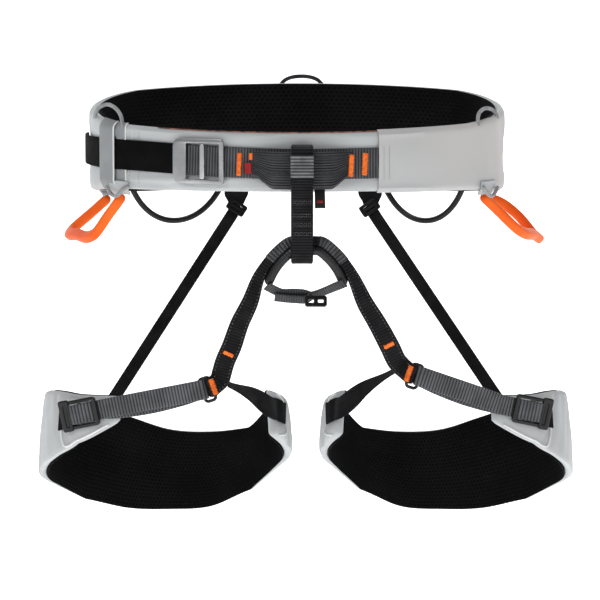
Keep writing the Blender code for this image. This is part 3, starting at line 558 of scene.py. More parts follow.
def bartack(
    name: str, middle: Array, along: Array, out: Array, length: float, width: float
) -> Piece:
    """A block of close zigzag stitches: threads side by side, each across the block.

    Args:
        name: The object's name.
        middle: The block's middle, on the cloth.
        along: Its long direction.
        out: The direction off the cloth.
        length: How long the block is.
        width: How wide it is.

    Returns:
        One object with all the threads.
    """
    pitch, thread, lift, lean = 0.62 * MM, 0.46 * MM, 0.15 * MM, 0.08
    number = np.arange(int(length / pitch))
    spots = (number - (len(number) - 1) / 2.0) * pitch
    along, out = unit(np.asarray(along, float)), unit(np.asarray(out, float))
    side = np.cross(out, along)
    wobble = 0.25 * MM * np.sin(number * 2.4) + 0.12 * MM * np.sin(number * 5.1)
    places = middle + spots[:, None] * along + wobble[:, None] * side + lift * out
    slant = np.where(number % 2 == 0, lean, -lean)[:, None]
    return stitches(name, places, unit(side + slant * along), np.tile(out, (len(number), 1)), width, thread)


# Finishes


class Pattern(Enum):
    """What a surface shows close to."""

    WEAVE = "weave"
    OPEN_MESH = "open mesh"
    BRUSHED = "brushed"
    MOULDED = "moulded"
    # Ribs also scale the colour by their height: painted shade in the grooves and painted light on the
    # crests.
    RIBS = "ribs"


@dataclass(frozen=True)
class Finish:
    """One finish: its colours, its pattern and the pattern's size in metres."""

    name: str
    slot: str
    light: tuple[float, float, float]
    dark: tuple[float, float, float]
    pattern: Pattern
    roughness: float
    pitch: float = 0.6 * MM
    depth: float = 0.12 * MM
    patches: float = 30.0
    metallic: float = 0.0
    sheen: float = 0.0
    specular: float = 0.5
    turned: float = 0.0


class Graph:
    """A short way to add nodes to a tree and join them."""

    def __init__(self, tree: bpy.types.NodeTree) -> None:
        """Keeps the tree that nodes are added to."""
        self.tree = tree

    def add(self, kind: str, **settings: object) -> bpy.types.Node:
        """A new node of a kind, with some of its own settings."""
        node = self.tree.nodes.new(kind)
        for key, value in settings.items():
            setattr(node, key, value)
        return node

    def feed(self, source: object, target: bpy.types.NodeSocket) -> None:
        """Joins a socket to a target, or sets the target to a number."""
        if isinstance(source, bpy.types.NodeSocket):
            self.tree.links.new(source, target)
        else:
            target.default_value = source

    def math(self, operation: str, *values: object) -> bpy.types.NodeSocket:
        """The result of a Math node on sockets or numbers."""
        node = self.add("ShaderNodeMath", operation=operation)
        for socket, value in zip(node.inputs, values):
            self.feed(value, socket)
        return node.outputs[0]

    def split(self, place: bpy.types.NodeSocket) -> tuple[bpy.types.NodeSocket, bpy.types.NodeSocket]:
        """The x and y of a place."""
        parts = self.add("ShaderNodeSeparateXYZ")
        self.feed(place, parts.inputs[0])
        return parts.outputs[0], parts.outputs[1]

    def ramp(self, value: bpy.types.NodeSocket, *limits: float) -> bpy.types.NodeSocket:
        """An even S curve of a value: its two ends, and then what it gives at each."""
        node = self.add("ShaderNodeMapRange", interpolation_type="SMOOTHSTEP")
        for socket, source in zip(node.inputs, (value, *limits)):
            self.feed(source, socket)
        return node.outputs[0]


def new_group(name: str, inputs: dict[str, str], outputs: dict[str, str]) -> tuple[Graph, dict, dict]:
    """An empty shader node group with named sockets.

    Args:
        name: The group's name.
        inputs: The socket type of each input.
        outputs: The socket type of each output.

    Returns:
        Its graph, its inputs as sockets to read, and its outputs as sockets to feed.
    """
    tree = bpy.data.node_groups.new(name, "ShaderNodeTree")
    for label, kind in inputs.items():
        tree.interface.new_socket(label, in_out="INPUT", socket_type=kind)
    for label, kind in outputs.items():
        tree.interface.new_socket(label, in_out="OUTPUT", socket_type=kind)
    graph = Graph(tree)
    source, sink = graph.add("NodeGroupInput"), graph.add("NodeGroupOutput")
    return graph, {k: source.outputs[k] for k in inputs}, {k: sink.inputs[k] for k in outputs}


class Effects:
    """The node groups that the finishes share."""

    def __init__(self) -> None:
        """Builds each group once."""
        self.weave = self.make_weave()
        self.open_mesh = self.make_open_mesh()
        self.brushed = self.make_brushed()
        self.patches = self.make_patches()
        self.ribs = self.make_ribs()

    @staticmethod
    def make_ribs() -> bpy.types.NodeTree:
        """Rounded ribs: |sin(pi s / pitch)|, where s runs along the strap, or across it when Turn is 1."""
        graph, given, out = new_group(
            "rounded_ribs",
            {"Place": "NodeSocketVector", "Pitch": "NodeSocketFloat", "Turn": "NodeSocketFloat"},
            {"Height": "NodeSocketFloat"},
        )
        x, y = graph.split(given["Place"])
        along = graph.math("MULTIPLY", x, graph.math("SUBTRACT", 1.0, given["Turn"]))
        place = graph.math("MULTIPLY_ADD", y, given["Turn"], along)
        turn = graph.math("MULTIPLY", graph.math("DIVIDE", place, given["Pitch"]), math.pi)
        wave = graph.math("SINE", turn)
        graph.feed(graph.math("ABSOLUTE", wave), out["Height"])
        return graph.tree

    @staticmethod
    def make_weave() -> bpy.types.NodeTree:
        """Crossing threads: the height is 0.5 + 0.5 sin(pi x / pitch) sin(pi y / pitch)."""
        graph, given, out = new_group(
            "crossing_threads",
            {"Place": "NodeSocketVector", "Pitch": "NodeSocketFloat"},
            {"Height": "NodeSocketFloat"},
        )
        waves = []
        for place in graph.split(given["Place"]):
            turn = graph.math("MULTIPLY", graph.math("DIVIDE", place, given["Pitch"]), math.pi)
            waves.append(graph.math("SINE", turn))
        product = graph.math("MULTIPLY", *waves)
        graph.feed(graph.math("MULTIPLY_ADD", product, 0.5, 0.5), out["Height"])
        return graph.tree

    @staticmethod
    def make_open_mesh() -> bpy.types.NodeTree:
        """Holes on a six-way grid: 1 in a hole and 0 between, by the distance to the nearer of two grids."""
        graph, given, out = new_group(
            "six_way_holes",
            {"Place": "NodeSocketVector", "Pitch": "NodeSocketFloat"},
            {"Hole": "NodeSocketFloat"},
        )
        x, y = graph.split(given["Place"])
        across = graph.math("DIVIDE", x, given["Pitch"])
        along = graph.math("DIVIDE", y, graph.math("MULTIPLY", given["Pitch"], math.sqrt(3.0)))
        distances = []
        for shift in (0.0, 0.5):
            squares = []
            for value, stretch in ((across, 1.0), (along, math.sqrt(3.0))):
                cell = graph.math("FRACT", graph.math("ADD", value, shift + 100.0))
                offset = graph.math("MULTIPLY", graph.math("SUBTRACT", cell, 0.5), stretch)
                squares.append(graph.math("MULTIPLY", offset, offset))
            distances.append(graph.math("SQRT", graph.math("ADD", *squares)))
        nearest = graph.math("MINIMUM", *distances)
        graph.feed(graph.ramp(nearest, 0.18, 0.34, 1.0, 0.0), out["Hole"])
        return graph.tree

    @staticmethod
    def make_brushed() -> bpy.types.NodeTree:
        """Fine drawn lines: noise squeezed along the piece's height."""
        graph, given, out = new_group(
            "drawn_lines",
            {"Place": "NodeSocketVector", "Pitch": "NodeSocketFloat"},
            {"Height": "NodeSocketFloat"},
        )
        squeeze = graph.add("ShaderNodeVectorMath", operation="MULTIPLY")
        graph.feed(given["Place"], squeeze.inputs[0])
        squeeze.inputs[1].default_value = (0.04, 0.04, 1.0)
        noise = graph.add("ShaderNodeTexNoise")
        graph.feed(squeeze.outputs[0], noise.inputs["Vector"])
        graph.feed(graph.math("DIVIDE", 1.0, given["Pitch"]), noise.inputs["Scale"])
        graph.feed(noise.outputs[0], out["Height"])
        return graph.tree

    @staticmethod
    def make_patches() -> bpy.types.NodeTree:
        """Uneven shade: the two colours mixed by noise of a few octaves, and the noise itself."""
        graph, given, out = new_group(
            "uneven_shade",
            {
                "Place": "NodeSocketVector",
                "Scale": "NodeSocketFloat",
                "Light": "NodeSocketColor",
                "Dark": "NodeSocketColor",
            },
            {"Color": "NodeSocketColor", "Value": "NodeSocketFloat"},
        )
        noise = graph.add("ShaderNodeTexNoise")
        noise.inputs["Detail"].default_value = 5.0
        graph.feed(given["Place"], noise.inputs["Vector"])
        graph.feed(given["Scale"], noise.inputs["Scale"])
        share = graph.ramp(noise.outputs[0], 0.32, 0.68, 0.0, 1.0)
        mix = graph.add("ShaderNodeMix", data_type="RGBA")
        graph.feed(share, mix.inputs[0])
        graph.feed(given["Dark"], mix.inputs[6])
        graph.feed(given["Light"], mix.inputs[7])
        graph.feed(mix.outputs[2], out["Color"])
        graph.feed(share, out["Value"])
        return graph.tree


class Wardrobe:
    """Makes each finish's material once, and dresses pieces in them."""

    def __init__(self) -> None:
        """Builds the shared effects."""
        self.effects = Effects()
        self.made: dict[str, bpy.types.Material] = {}

    def material(self, finish: Finish) -> bpy.types.Material:
        """The material of a finish, made when it is first asked for."""
        if finish.name not in self.made:
            self.made[finish.name] = self.make(finish)
        return self.made[finish.name]

    def make(self, finish: Finish) -> bpy.types.Material:
        """A new material: uneven colour, a pattern that darkens it (on ribbed finishes, painted shade in the
        grooves and painted light on the crests) and a bump.

        Args:
            finish: The finish to make.

        Returns:
            The material, with its Principled shader.
        """
        material = bpy.data.materials.new(finish.name)
        material.use_nodes = True
        graph = Graph(material.node_tree)
        shader = material.node_tree.nodes["Principled BSDF"]
        cloth = finish.pattern in (Pattern.WEAVE, Pattern.OPEN_MESH, Pattern.RIBS)
        coordinate = graph.add("ShaderNodeTexCoord")
        own_place = coordinate.outputs["Object"]
        pattern_place = coordinate.outputs["UV"] if cloth else own_place
        shade = graph.add("ShaderNodeGroup", node_tree=self.effects.patches)
        graph.feed(own_place, shade.inputs["Place"])
        shade.inputs["Scale"].default_value = finish.patches
        shade.inputs["Light"].default_value = (*finish.light, 1.0)
        shade.inputs["Dark"].default_value = (*finish.dark, 1.0)
        groups = {
            Pattern.WEAVE: self.effects.weave,
            Pattern.OPEN_MESH: self.effects.open_mesh,
            Pattern.BRUSHED: self.effects.brushed,
            Pattern.MOULDED: self.effects.brushed,
            Pattern.RIBS: self.effects.ribs,
        }
        pattern = graph.add("ShaderNodeGroup", node_tree=groups[finish.pattern])
        graph.feed(pattern_place, pattern.inputs["Place"])
        pattern.inputs["Pitch"].default_value = finish.pitch
        if finish.pattern is Pattern.RIBS:
            pattern.inputs["Turn"].default_value = finish.turned
        detail = pattern.outputs[0]
        # How far each pattern scales the colour between its low and high points; for ribs, 0.04 in the
        # grooves and 1.2 on the crests are painted shade and painted light.
        low, high = {
            Pattern.WEAVE: (0.72, 1.12),
            Pattern.OPEN_MESH: (1.25, 0.25),
            Pattern.BRUSHED: (0.86, 1.1),
            Pattern.MOULDED: (0.97, 1.02),
            Pattern.RIBS: (0.04, 1.2),
        }[finish.pattern]
        pattern_tone_and_rib_shade = graph.add("ShaderNodeVectorMath", operation="SCALE")
        graph.feed(shade.outputs["Color"], pattern_tone_and_rib_shade.inputs[0])
        graph.feed(graph.math("MULTIPLY_ADD", detail, high - low, low), pattern_tone_and_rib_shade.inputs["Scale"])
        graph.feed(pattern_tone_and_rib_shade.outputs[0], shader.inputs["Base Color"])
        spread = graph.math("MULTIPLY_ADD", shade.outputs["Value"], -0.12, finish.roughness + 0.06)
        graph.feed(spread, shader.inputs["Roughness"])
        bump = graph.add("ShaderNodeBump")
        bump.inputs["Distance"].default_value = finish.depth
        flip = -1.0 if finish.pattern is Pattern.OPEN_MESH else 1.0
        graph.feed(graph.math("MULTIPLY", detail, flip), bump.inputs["Height"])
        graph.feed(bump.outputs[0], shader.inputs["Normal"])
        shader.inputs["Metallic"].default_value = finish.metallic
        shader.inputs["Sheen Weight"].default_value = finish.sheen
        shader.inputs["Specular IOR Level"].default_value = finish.specular
        return material

    def dress(self, piece: Piece, finish: Finish, body: str, *nodes: str) -> None:
        """Gives a piece its finish, the body that it moves with and the CAD nodes that it stands for.

        Args:
            piece: The finished object.
            finish: What it is made of.
            body: The CAD body that carries it, or nothing for a piece that stays unattached.
            nodes: The CAD nodes that it replaces.
        """
        piece.data.materials.clear()
        piece.data.materials.append(self.material(finish))
        if body:
            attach(piece, body)
        if nodes:
            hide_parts(*nodes)
        faces, carrier = len(piece.data.polygons), body or "two bodies"
        LOG.info("%s: %d faces, %s, on %s", piece.name, faces, finish.name, carrier)


SHELL = Finish(
    "shell_cloth", "shell_fabric", (0.59, 0.61, 0.62), (0.53, 0.55, 0.56), Pattern.WEAVE,
    roughness=0.62, pitch=0.5 * MM, depth=0.03 * MM, patches=14.0, sheen=0.05, specular=0.25,
)
PANEL = Finish(
    "panel_cloth", "shell_fabric", (0.60, 0.585, 0.58), (0.54, 0.55, 0.555), Pattern.WEAVE,
    roughness=0.62, pitch=0.5 * MM, depth=0.03 * MM, patches=10.0, sheen=0.05, specular=0.25,
)
KEEPER_TAPE = Finish(
    "keeper_tape", "grey_trim", (0.33, 0.345, 0.355), (0.29, 0.305, 0.315), Pattern.WEAVE,
    roughness=0.6, pitch=0.8 * MM, depth=0.08 * MM, patches=40.0, specular=0.2,
)
PALE_EDGE = Finish(
    "pale_edge", "shell_fabric", (0.86, 0.87, 0.87), (0.78, 0.79, 0.79), Pattern.WEAVE,
    roughness=0.55, pitch=0.5 * MM, depth=0.05 * MM,
)
CORAL_EDGE = Finish(
    "coral_edge", "orange_plastic", (0.42, 0.16, 0.10), (0.10, 0.05, 0.045), Pattern.WEAVE,
    roughness=0.6, pitch=0.5 * MM, depth=0.05 * MM, patches=200.0, specular=0.2,
)
LINING = Finish(
    "spacer_mesh", "lining_mesh", (0.005, 0.005, 0.0055), (0.003, 0.003, 0.0033), Pattern.OPEN_MESH,
    roughness=0.75, pitch=3.0 * MM, depth=0.5 * MM, patches=20.0, specular=0.07,
)
TAIL = Finish(
    "tail_webbing", "ribbed_webbing", (0.006, 0.006, 0.0065), (0.004, 0.004, 0.0045), Pattern.WEAVE,
    roughness=0.7, pitch=1.1 * MM, depth=0.12 * MM, patches=60.0, specular=0.03,
)
# Finishes with Pattern.RIBS get painted shade in their rib grooves and painted light on their crests from the
# material's rib pattern.
RIBBED = Finish(
    "ribbed_webbing", "ribbed_webbing", (0.10, 0.103, 0.112), (0.075, 0.077, 0.083), Pattern.RIBS,
    roughness=0.5, pitch=2.3 * MM, depth=0.2 * MM, patches=70.0, specular=0.2,
)
LEG_RIBBED = Finish(
    "leg_webbing", "ribbed_webbing", (0.125, 0.129, 0.140), (0.085, 0.088, 0.095), Pattern.RIBS,
    roughness=0.5, pitch=2.65 * MM, depth=0.2 * MM, patches=70.0, specular=0.2,
)
FINE_RIBBED = Finish(
    "fine_webbing", "ribbed_webbing", (0.055, 0.056, 0.06), (0.035, 0.036, 0.039), Pattern.RIBS,
    roughness=0.5, pitch=1.9 * MM, depth=0.2 * MM, patches=70.0, specular=0.3,
)
BELAY_WEB = Finish(
    "belay_webbing", "black_webbing", (0.016, 0.016, 0.018), (0.008, 0.008, 0.009), Pattern.RIBS,
    roughness=0.5, pitch=2.1 * MM, depth=0.15 * MM, patches=80.0, specular=0.1,
)
BRIDGE_WEB = Finish(
    "bridge_webbing", "black_webbing", (0.011, 0.011, 0.0125), (0.006, 0.006, 0.007), Pattern.RIBS,
    roughness=0.5, pitch=2.4 * MM, depth=0.15 * MM, patches=80.0, specular=0.1,
)
BLACK_WEB = Finish(
    "black_webbing", "black_webbing", (0.010, 0.010, 0.0115), (0.006, 0.006, 0.007), Pattern.WEAVE,
    roughness=0.6, pitch=0.9 * MM, depth=0.15 * MM, patches=80.0, specular=0.06,
)
BAND_WEB = Finish(
    "band_webbing", "black_webbing", (0.060, 0.061, 0.066), (0.042, 0.043, 0.047), Pattern.RIBS,
    roughness=0.55, pitch=2.17 * MM, depth=0.1 * MM, patches=80.0, specular=0.2, turned=1.0,
)
GREY_RIBS = Finish(
    "grey_ribs", "black_webbing", (0.19, 0.195, 0.205), (0.11, 0.114, 0.122), Pattern.RIBS,
    roughness=0.5, pitch=2.43 * MM, depth=0.1 * MM, patches=120.0, specular=0.3,
)
ARCH_RIBS = Finish(
    "arch_ribs", "black_webbing", (0.075, 0.077, 0.084), (0.030, 0.031, 0.034), Pattern.RIBS,
    roughness=0.5, pitch=2.7 * MM, depth=0.1 * MM, patches=120.0, specular=0.3,
)
GREY_THREAD = Finish(
    "grey_thread", "grey_trim", (0.16, 0.163, 0.17), (0.07, 0.07, 0.075), Pattern.MOULDED,
    roughness=0.5, pitch=0.4 * MM, depth=0.02 * MM, patches=400.0, specular=0.2,
)
SHELL_THREAD = Finish(
    "shell_thread", "grey_trim", (0.34, 0.35, 0.36), (0.24, 0.25, 0.26), Pattern.MOULDED,
    roughness=0.55, pitch=0.4 * MM, depth=0.02 * MM, patches=200.0,
)
ORANGE_THREAD = Finish(
    "orange_thread", "orange_plastic", (1.0, 0.24, 0.035), (0.80, 0.14, 0.02), Pattern.MOULDED,
    roughness=0.5, pitch=0.4 * MM, depth=0.02 * MM, patches=400.0, specular=0.2,
)
CORD = Finish(
    "bow_cord", "grey_cord", (0.40, 0.41, 0.42), (0.26, 0.27, 0.275), Pattern.WEAVE,
    roughness=0.6, pitch=1.3 * MM, depth=0.3 * MM, patches=120.0, specular=0.2,
)
DARK_CORD = Finish(
    "haul_cord", "black_webbing", (0.05, 0.05, 0.055), (0.02, 0.02, 0.022), Pattern.WEAVE,
    roughness=0.6, pitch=1.0 * MM, depth=0.2 * MM, patches=120.0, specular=0.15,
)
ORANGE = Finish(
    "orange_moulding", "orange_plastic", (1.0, 0.165, 0.018), (0.93, 0.105, 0.010), Pattern.MOULDED,
    roughness=0.5, pitch=3.0 * MM, depth=0.03 * MM, patches=25.0, specular=0.15,
)
BLACK_MOULDING = Finish(
    "black_moulding", "black_plastic", (0.008, 0.008, 0.009), (0.005, 0.005, 0.0055), Pattern.MOULDED,
    roughness=0.32, pitch=2.0 * MM, depth=0.03 * MM, patches=60.0, specular=0.3,
)
PROTECTOR = Finish(
    "protector_sleeve", "black_plastic", (0.016, 0.016, 0.018), (0.009, 0.009, 0.010), Pattern.WEAVE,
    roughness=0.34, pitch=1.2 * MM, depth=0.12 * MM, patches=60.0, specular=0.4,
)
BRIGHT_METAL = Finish(
    "brushed_frame", "brushed_aluminium", (0.40, 0.41, 0.42), (0.30, 0.31, 0.32), Pattern.BRUSHED,
    roughness=0.32, pitch=1.2 * MM, depth=0.03 * MM, patches=40.0, metallic=1.0,
)
BRIGHT_BAR = Finish(
    "polished_bar", "brushed_aluminium", (0.52, 0.53, 0.54), (0.42, 0.43, 0.44), Pattern.BRUSHED,
    roughness=0.30, pitch=1.0 * MM, depth=0.02 * MM, patches=40.0, metallic=1.0,
)
DARK_METAL = Finish(
    "anodised_frame", "black_aluminium", (0.009, 0.009, 0.010), (0.006, 0.006, 0.0065), Pattern.BRUSHED,
    roughness=0.22, pitch=1.2 * MM, depth=0.02 * MM, patches=60.0, specular=0.35,
)
ELASTIC = Finish(
    "elastic_knit", "elastic_band", (0.010, 0.010, 0.011), (0.006, 0.006, 0.0065), Pattern.WEAVE,
    roughness=0.65, pitch=1.0 * MM, depth=0.2 * MM, patches=90.0, specular=0.12,
)
LABEL = Finish(
    "label_satin", "label_fabric", (0.010, 0.010, 0.011), (0.006, 0.006, 0.007), Pattern.WEAVE,
    roughness=0.5, pitch=0.4 * MM, depth=0.03 * MM, specular=0.2,
)
RED_TAPE = Finish(
    "red_tape", "red_tab_fabric", (0.42, 0.02, 0.02), (0.28, 0.01, 0.012), Pattern.WEAVE,
    roughness=0.6, pitch=0.5 * MM, depth=0.05 * MM, patches=150.0, specular=0.2,
)


# Waist belt

WAIST = Oval(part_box("waist_shell")[1].x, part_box("waist_shell")[1].y, 84.0 * MM)
GAP = 0.3 * MM


def waist_top(angle: Array) -> Array:
    """The height of the belt's upper edge: lowest in front, highest at the back."""
    return (32.4 - 12.2 * np.cos(angle)) * MM


def waist_bottom(angle: Array) -> Array:
    """The height of the belt's lower edge, which rises a little in front."""
    return (-34.0 + 8.5 * np.cos(angle)) * MM


def on_waist(angle: Array | float, offset: Array | float, z: Array | float) -> Array:
    """A point at an angle round the belt, a distance outside its shell, at a height."""
    x, y = WAIST.at(angle, offset)
    return np.stack(np.broadcast_arrays(x, y, np.asarray(z, float)), -1)


def webbing_middle(angle: Array) -> Array:
    """The height of the waist webbing's middle line, which climbs towards the wearer's right."""
    return (-3.8 + 3.4 * ease(-angle / math.radians(40.0))) * MM


def facing(place: Array, angle: float) -> Matrix:
    """A frame on the belt: local X along it, local Y up and local Z outwards."""
    return Matrix.Translation(place) @ Matrix.Rotation(angle, 4, "Z") @ Matrix.Rotation(math.pi / 2, 4, "X")


def outward(angle: float) -> Array:
    """The belt's outward direction at an angle."""
    return np.array([math.sin(angle), -math.cos(angle), 0.0])


def round_edges(
    low: Array, high: Array, radius: float, offset: Array, steps: int = 14
) -> tuple[Array, Array]:
    """A cover that rolls over both edges of the pad: offsets and heights up one section.

    The face is straight between the edges' quarter circles, whose middle is one radius inside the
    shell. The cover stands one offset off the pad all the way.

    Args:
        low: The pad's lower edge, one value for each section.
        high: Its upper edge.
        radius: The radius of its edges.
        offset: How far off the pad the cover lies, one value for each section.
        steps: The points up the face.

    Returns:
        Offsets and heights, as sections by points.
    """
    turn = np.radians([-75.0, -50.0, -25.0])
    share = np.linspace(0.0, 1.0, steps)
    low, high, offset = low[:, None], high[:, None], offset[:, None]
    rolled = radius + offset
    foot_out, foot_z = -radius + rolled * np.cos(turn), low + radius + rolled * np.sin(turn)
    head_out, head_z = -radius + rolled * np.cos(turn[::-1]), high - radius - rolled * np.sin(turn[::-1])
    face_z = low + radius + (high - low - 2.0 * radius) * share
    return (
        np.concatenate([foot_out, offset + 0.0 * face_z, head_out], axis=1),
        np.concatenate([foot_z, face_z, head_z], axis=1),
    )


@dataclass
class WaistBelt:
    """The padded belt with everything sewn on it."""

    wardrobe: Wardrobe
    edge_radius: float = 3.2 * MM
    lining_thickness: float = 1.1 * MM
    girth: float = 0.876
    seams: tuple[float, ...] = (-138.0 * MM, -126.0 * MM)
    panel_edge_x: float = 62.0 * MM
    panel_end: float = math.radians(75.0)
    panel_thickness: float = 1.1 * MM
    web_width: float = 23.5 * MM
    web_thickness: float = 2.0 * MM
    web_lift: float = 1.1 * MM
    rib_pitch: float = 2.3 * MM
    rib_height: float = 0.3 * MM
    tail_start_x: float = -83.5 * MM
    buckle_x: float = -74.0 * MM
    cord_radius: float = 1.5 * MM
    haul_radius: float = 1.6 * MM
    creases: tuple[tuple[float, ...], ...] = (
        # x, z, lean in degrees, half length, half width and depth, in millimetres
        (-112, -22, 8, 14, 2.2, 1.1),
        (-92, -24.5, -6, 18, 2.0, 0.9),
        (-60, -20.5, 3, 20, 1.8, 0.7),
        (-150, -27, 25, 12, 2.4, 1.3),
        (-143, -20, 32, 9, 1.8, 0.9),
        (-20, 15, 2, 22, 1.6, 0.5),
        (30, 14, -3, 20, 1.6, 0.5),
        (150, -28, -25, 12, 2.4, 1.2),
        (-105, 15.5, -5, 16, 1.8, 0.6),
    )

    def relief(self, angle: Array, z: Array) -> Array:
        """How far the shell stands off its plain face: puffs clear of the webbing, less seams and creases.

        A crease is depth * exp(-(v / width)^2) * exp(-(u / length)^4) along its own two directions, with
        a swelling half as high beside it.

        Args:
            angle: The angle round the belt.
            z: The height.

        Returns:
            The height of the relief.
        """
        low, high = waist_bottom(angle), waist_top(angle)
        below = np.clip((z - low) / (webbing_middle(angle) - 12.0 * MM - low), 0.0, 1.0)
        above = np.clip((high - z) / (high - webbing_middle(angle) - 12.5 * MM), 0.0, 1.0)
        height = 1.1 * MM * (np.sin(math.pi * below) ** 0.8 + np.sin(math.pi * above) ** 0.8)
        arc = angle * 150.0 * MM
        height = height + 0.22 * MM * np.sin(arc / (9.0 * MM) + 3.0 * np.sin(z / (13.0 * MM)))
        for x in self.seams:
            height = height - 0.8 * MM * hump((angle - WAIST.angle_of(x)) * WAIST.side_radius, 0.0, 1.3 * MM)
        for x, middle, lean, length, width, depth in self.creases:
            radius = WAIST.front_radius if abs(x) < 105 else WAIST.side_radius
            run, rise = (angle - WAIST.angle_of(x * MM)) * radius / MM, z / MM - middle
            cos, sin = math.cos(math.radians(lean)), math.sin(math.radians(lean))
            u, v = run * cos + rise * sin, rise * cos - run * sin
            reach = depth * MM * np.exp(-((u / length) ** 4))
            height = height - reach * hump(v, 0.0, width) + 0.5 * reach * hump(v, 3.2, 2.4)
        return height

    def pad(self) -> None:
        """The shell round its foam, and the lining: closed bands whose section is a bar with round edges."""
        angle = np.linspace(-math.pi, math.pi, 520, endpoint=False)[:, None]
        low, high = waist_bottom(angle), waist_top(angle)
        for name, thickness, inset, short, columns in (
            ("belt_pad", 2.0 * self.edge_radius, 0.0, 0.0, 27),
            ("belt_lining", self.lining_thickness, 2.0 * self.edge_radius + 0.15 * MM, 0.2 * MM, 5),
        ):
            section = Section.make(columns)
            half = thickness / 2.0
            height = high - low - 2.0 * short
            z = (low + high) / 2.0 + section.across * (height - thickness) + section.edge * half
            offset = -inset - half + section.lift * half
            if not inset:
                offset = offset + np.clip(section.lift, 0.0, 1.0) * self.relief(angle, z)
            rings = on_waist(angle, offset, z)
            run = np.linspace(0.0, self.girth, len(angle) + 1)
            piece = loft(name, rings, run, section.round_lengths(70.0 * MM, thickness), closed=True)
            if inset:
                self.wardrobe.dress(piece, LINING, "waist", "waist_lining")
            else:
                self.wardrobe.dress(piece, SHELL, "waist", "waist_shell", "waist_foam")

    def side_panel(self) -> None:
        """The cloth that covers the webbing's sewn end, rolled over both edges of the belt."""
        angle = np.linspace(WAIST.angle_of(self.panel_edge_x), self.panel_end, 90)
        lifted = WAIST.angle_of(78.0 * MM)
        fall = ease((angle - lifted) / math.radians(16.0))
        offset = (1.5 + 2.5 * (1.0 - fall)) * MM
        tuck = 2.2 * MM * (1.0 - fall) + 0.5 * MM
        low, high = waist_bottom(angle) + tuck, waist_top(angle) - tuck
        out, z = round_edges(low, high, self.edge_radius, offset, 22)
        middle = hump(z, 0.0, 16.0 * MM)
        out = out - (1.0 - middle) * (1.0 - fall[:, None]) * 1.6 * MM * (np.abs(out - offset[:, None]) < 1e-9)
        wide = angle[:, None]
        wave = 0.35 * MM * np.sin(wide * 23.0 + z * 60.0) * hump(wide, math.radians(60.0), 0.3)
        outer = on_waist(wide, out + wave, z)
        run = lengths_along(outer[:, 14])
        piece = slab("belt_side_panel", outer, self.panel_thickness, run)
        self.wardrobe.dress(piece, PANEL, "waist", "waist_side_panel")
        for number, distance in enumerate((3.6 * MM, 7.6 * MM)):
            place = WAIST.angle_of(self.panel_edge_x + distance)
            height = np.linspace(-17.0 * MM, 9.0 * MM, 24)
            line = on_waist(place, offset[0] + 0.12 * MM, height)
            name = f"panel_stitches_{number}"
            piece = stitch_line(name, line, outward(place), 2.2 * MM, 1.5 * MM, 0.2 * MM)
            self.wardrobe.dress(piece, SHELL_THREAD, "waist")

    def edges(self) -> None:
        """The piping along the front's upper edge and the stitch lines of the side seams."""
        angle = np.linspace(WAIST.angle_of(-108.0 * MM), WAIST.angle_of(66.0 * MM), 90)
        path = on_waist(angle, -1.2 * MM, waist_top(angle) - 0.15 * MM)
        self.wardrobe.dress(tube("belt_piping", path, 0.42 * MM, (0, 0, 1), 8), CORAL_EDGE, "waist")
        for number, x in enumerate(self.seams):
            for side in (-1.0, 1.0):
                middle = WAIST.angle_of(x) + side * 1.9 * MM / WAIST.side_radius
                z = np.linspace(waist_bottom(middle) + 4.0 * MM, waist_top(middle) - 4.0 * MM, 20)
                path = on_waist(middle, self.relief(middle + 0.0 * z, z) + 0.1 * MM, z)
                name = f"belt_seam_{number}_{'a' if side < 0 else 'b'}"
                line = stitch_line(name, path, outward(middle), 2.8 * MM, 1.8 * MM, 0.22 * MM)
                self.wardrobe.dress(line, SHELL_THREAD, "waist")

    def webbing(self) -> None:
        """The ribbed length from the side panel through the buckle, and the plain tail beyond it."""

        def ribs(run: Array, _: Array) -> Array:
            """Ribs across the strap: height * (0.5 - 0.5 cos(2 pi run / pitch))."""
            return self.rib_height * (0.5 - 0.5 * np.cos(TAU * run / self.rib_pitch))

        start = [(-WAIST.angle_of(x * MM), lift) for x, lift in ((75.0, 0.3), (-45.0, 0.3), (-57.5, 0.4))]
        joint = (-WAIST.angle_of(self.tail_start_x), 0.4)
        beyond = [(-WAIST.angle_of(-90.0 * MM), 0.3), (math.radians(65.0), 0.3), (math.radians(100.0), 3.3)]
        for name, stations, count, relief, finish in (
            ("waist_webbing_ribbed", [*start, joint], 360, ribs, RIBBED),
            ("waist_webbing_tail", [joint, *beyond], 150, None, TAIL),
        ):
            table = np.array(stations)
            angle = -np.linspace(table[0, 0], table[-1, 0], count)
            lift = np.interp(-angle, table[:, 0], table[:, 1]) * MM
            path = on_waist(angle, lift + self.web_lift, webbing_middle(angle))
            piece = ribbon(name, path, (0, 0, 1), self.web_width, self.web_thickness, relief)
            self.wardrobe.dress(piece, finish, "waist", "waist_webbing")

    def buckle(self) -> None:
        """The flat frame with its window, and the loose bar in it."""
        angle = WAIST.angle_of(self.buckle_x)
        place = facing(on_waist(angle, 4.2 * MM, webbing_middle(angle) - 0.6 * MM), angle)
        rim = rounded(-21 * MM, 21 * MM, -17.5 * MM, 17.5 * MM, (3 * MM, 6 * MM, 6 * MM, 3 * MM), 4)
        window = rounded(-10 * MM, 17 * MM, -13.9 * MM, 13.9 * MM, (1 * MM,) * 4, 3)
        piece = plate("waist_buckle", [rim, window], 2.8 * MM, 0.7 * MM, place)
        self.wardrobe.dress(piece, BRIGHT_METAL, "waist", "waist_buckle_frame")
        bar = rounded(1.0 * MM, 5.0 * MM, -13.6 * MM, 13.6 * MM, (1.0 * MM,) * 4, 3)
        piece = plate("waist_buckle_bar", [bar], 2.5 * MM, 0.9 * MM, place)
        self.wardrobe.dress(piece, BRIGHT_BAR, "waist_slider", "waist_buckle_slider")

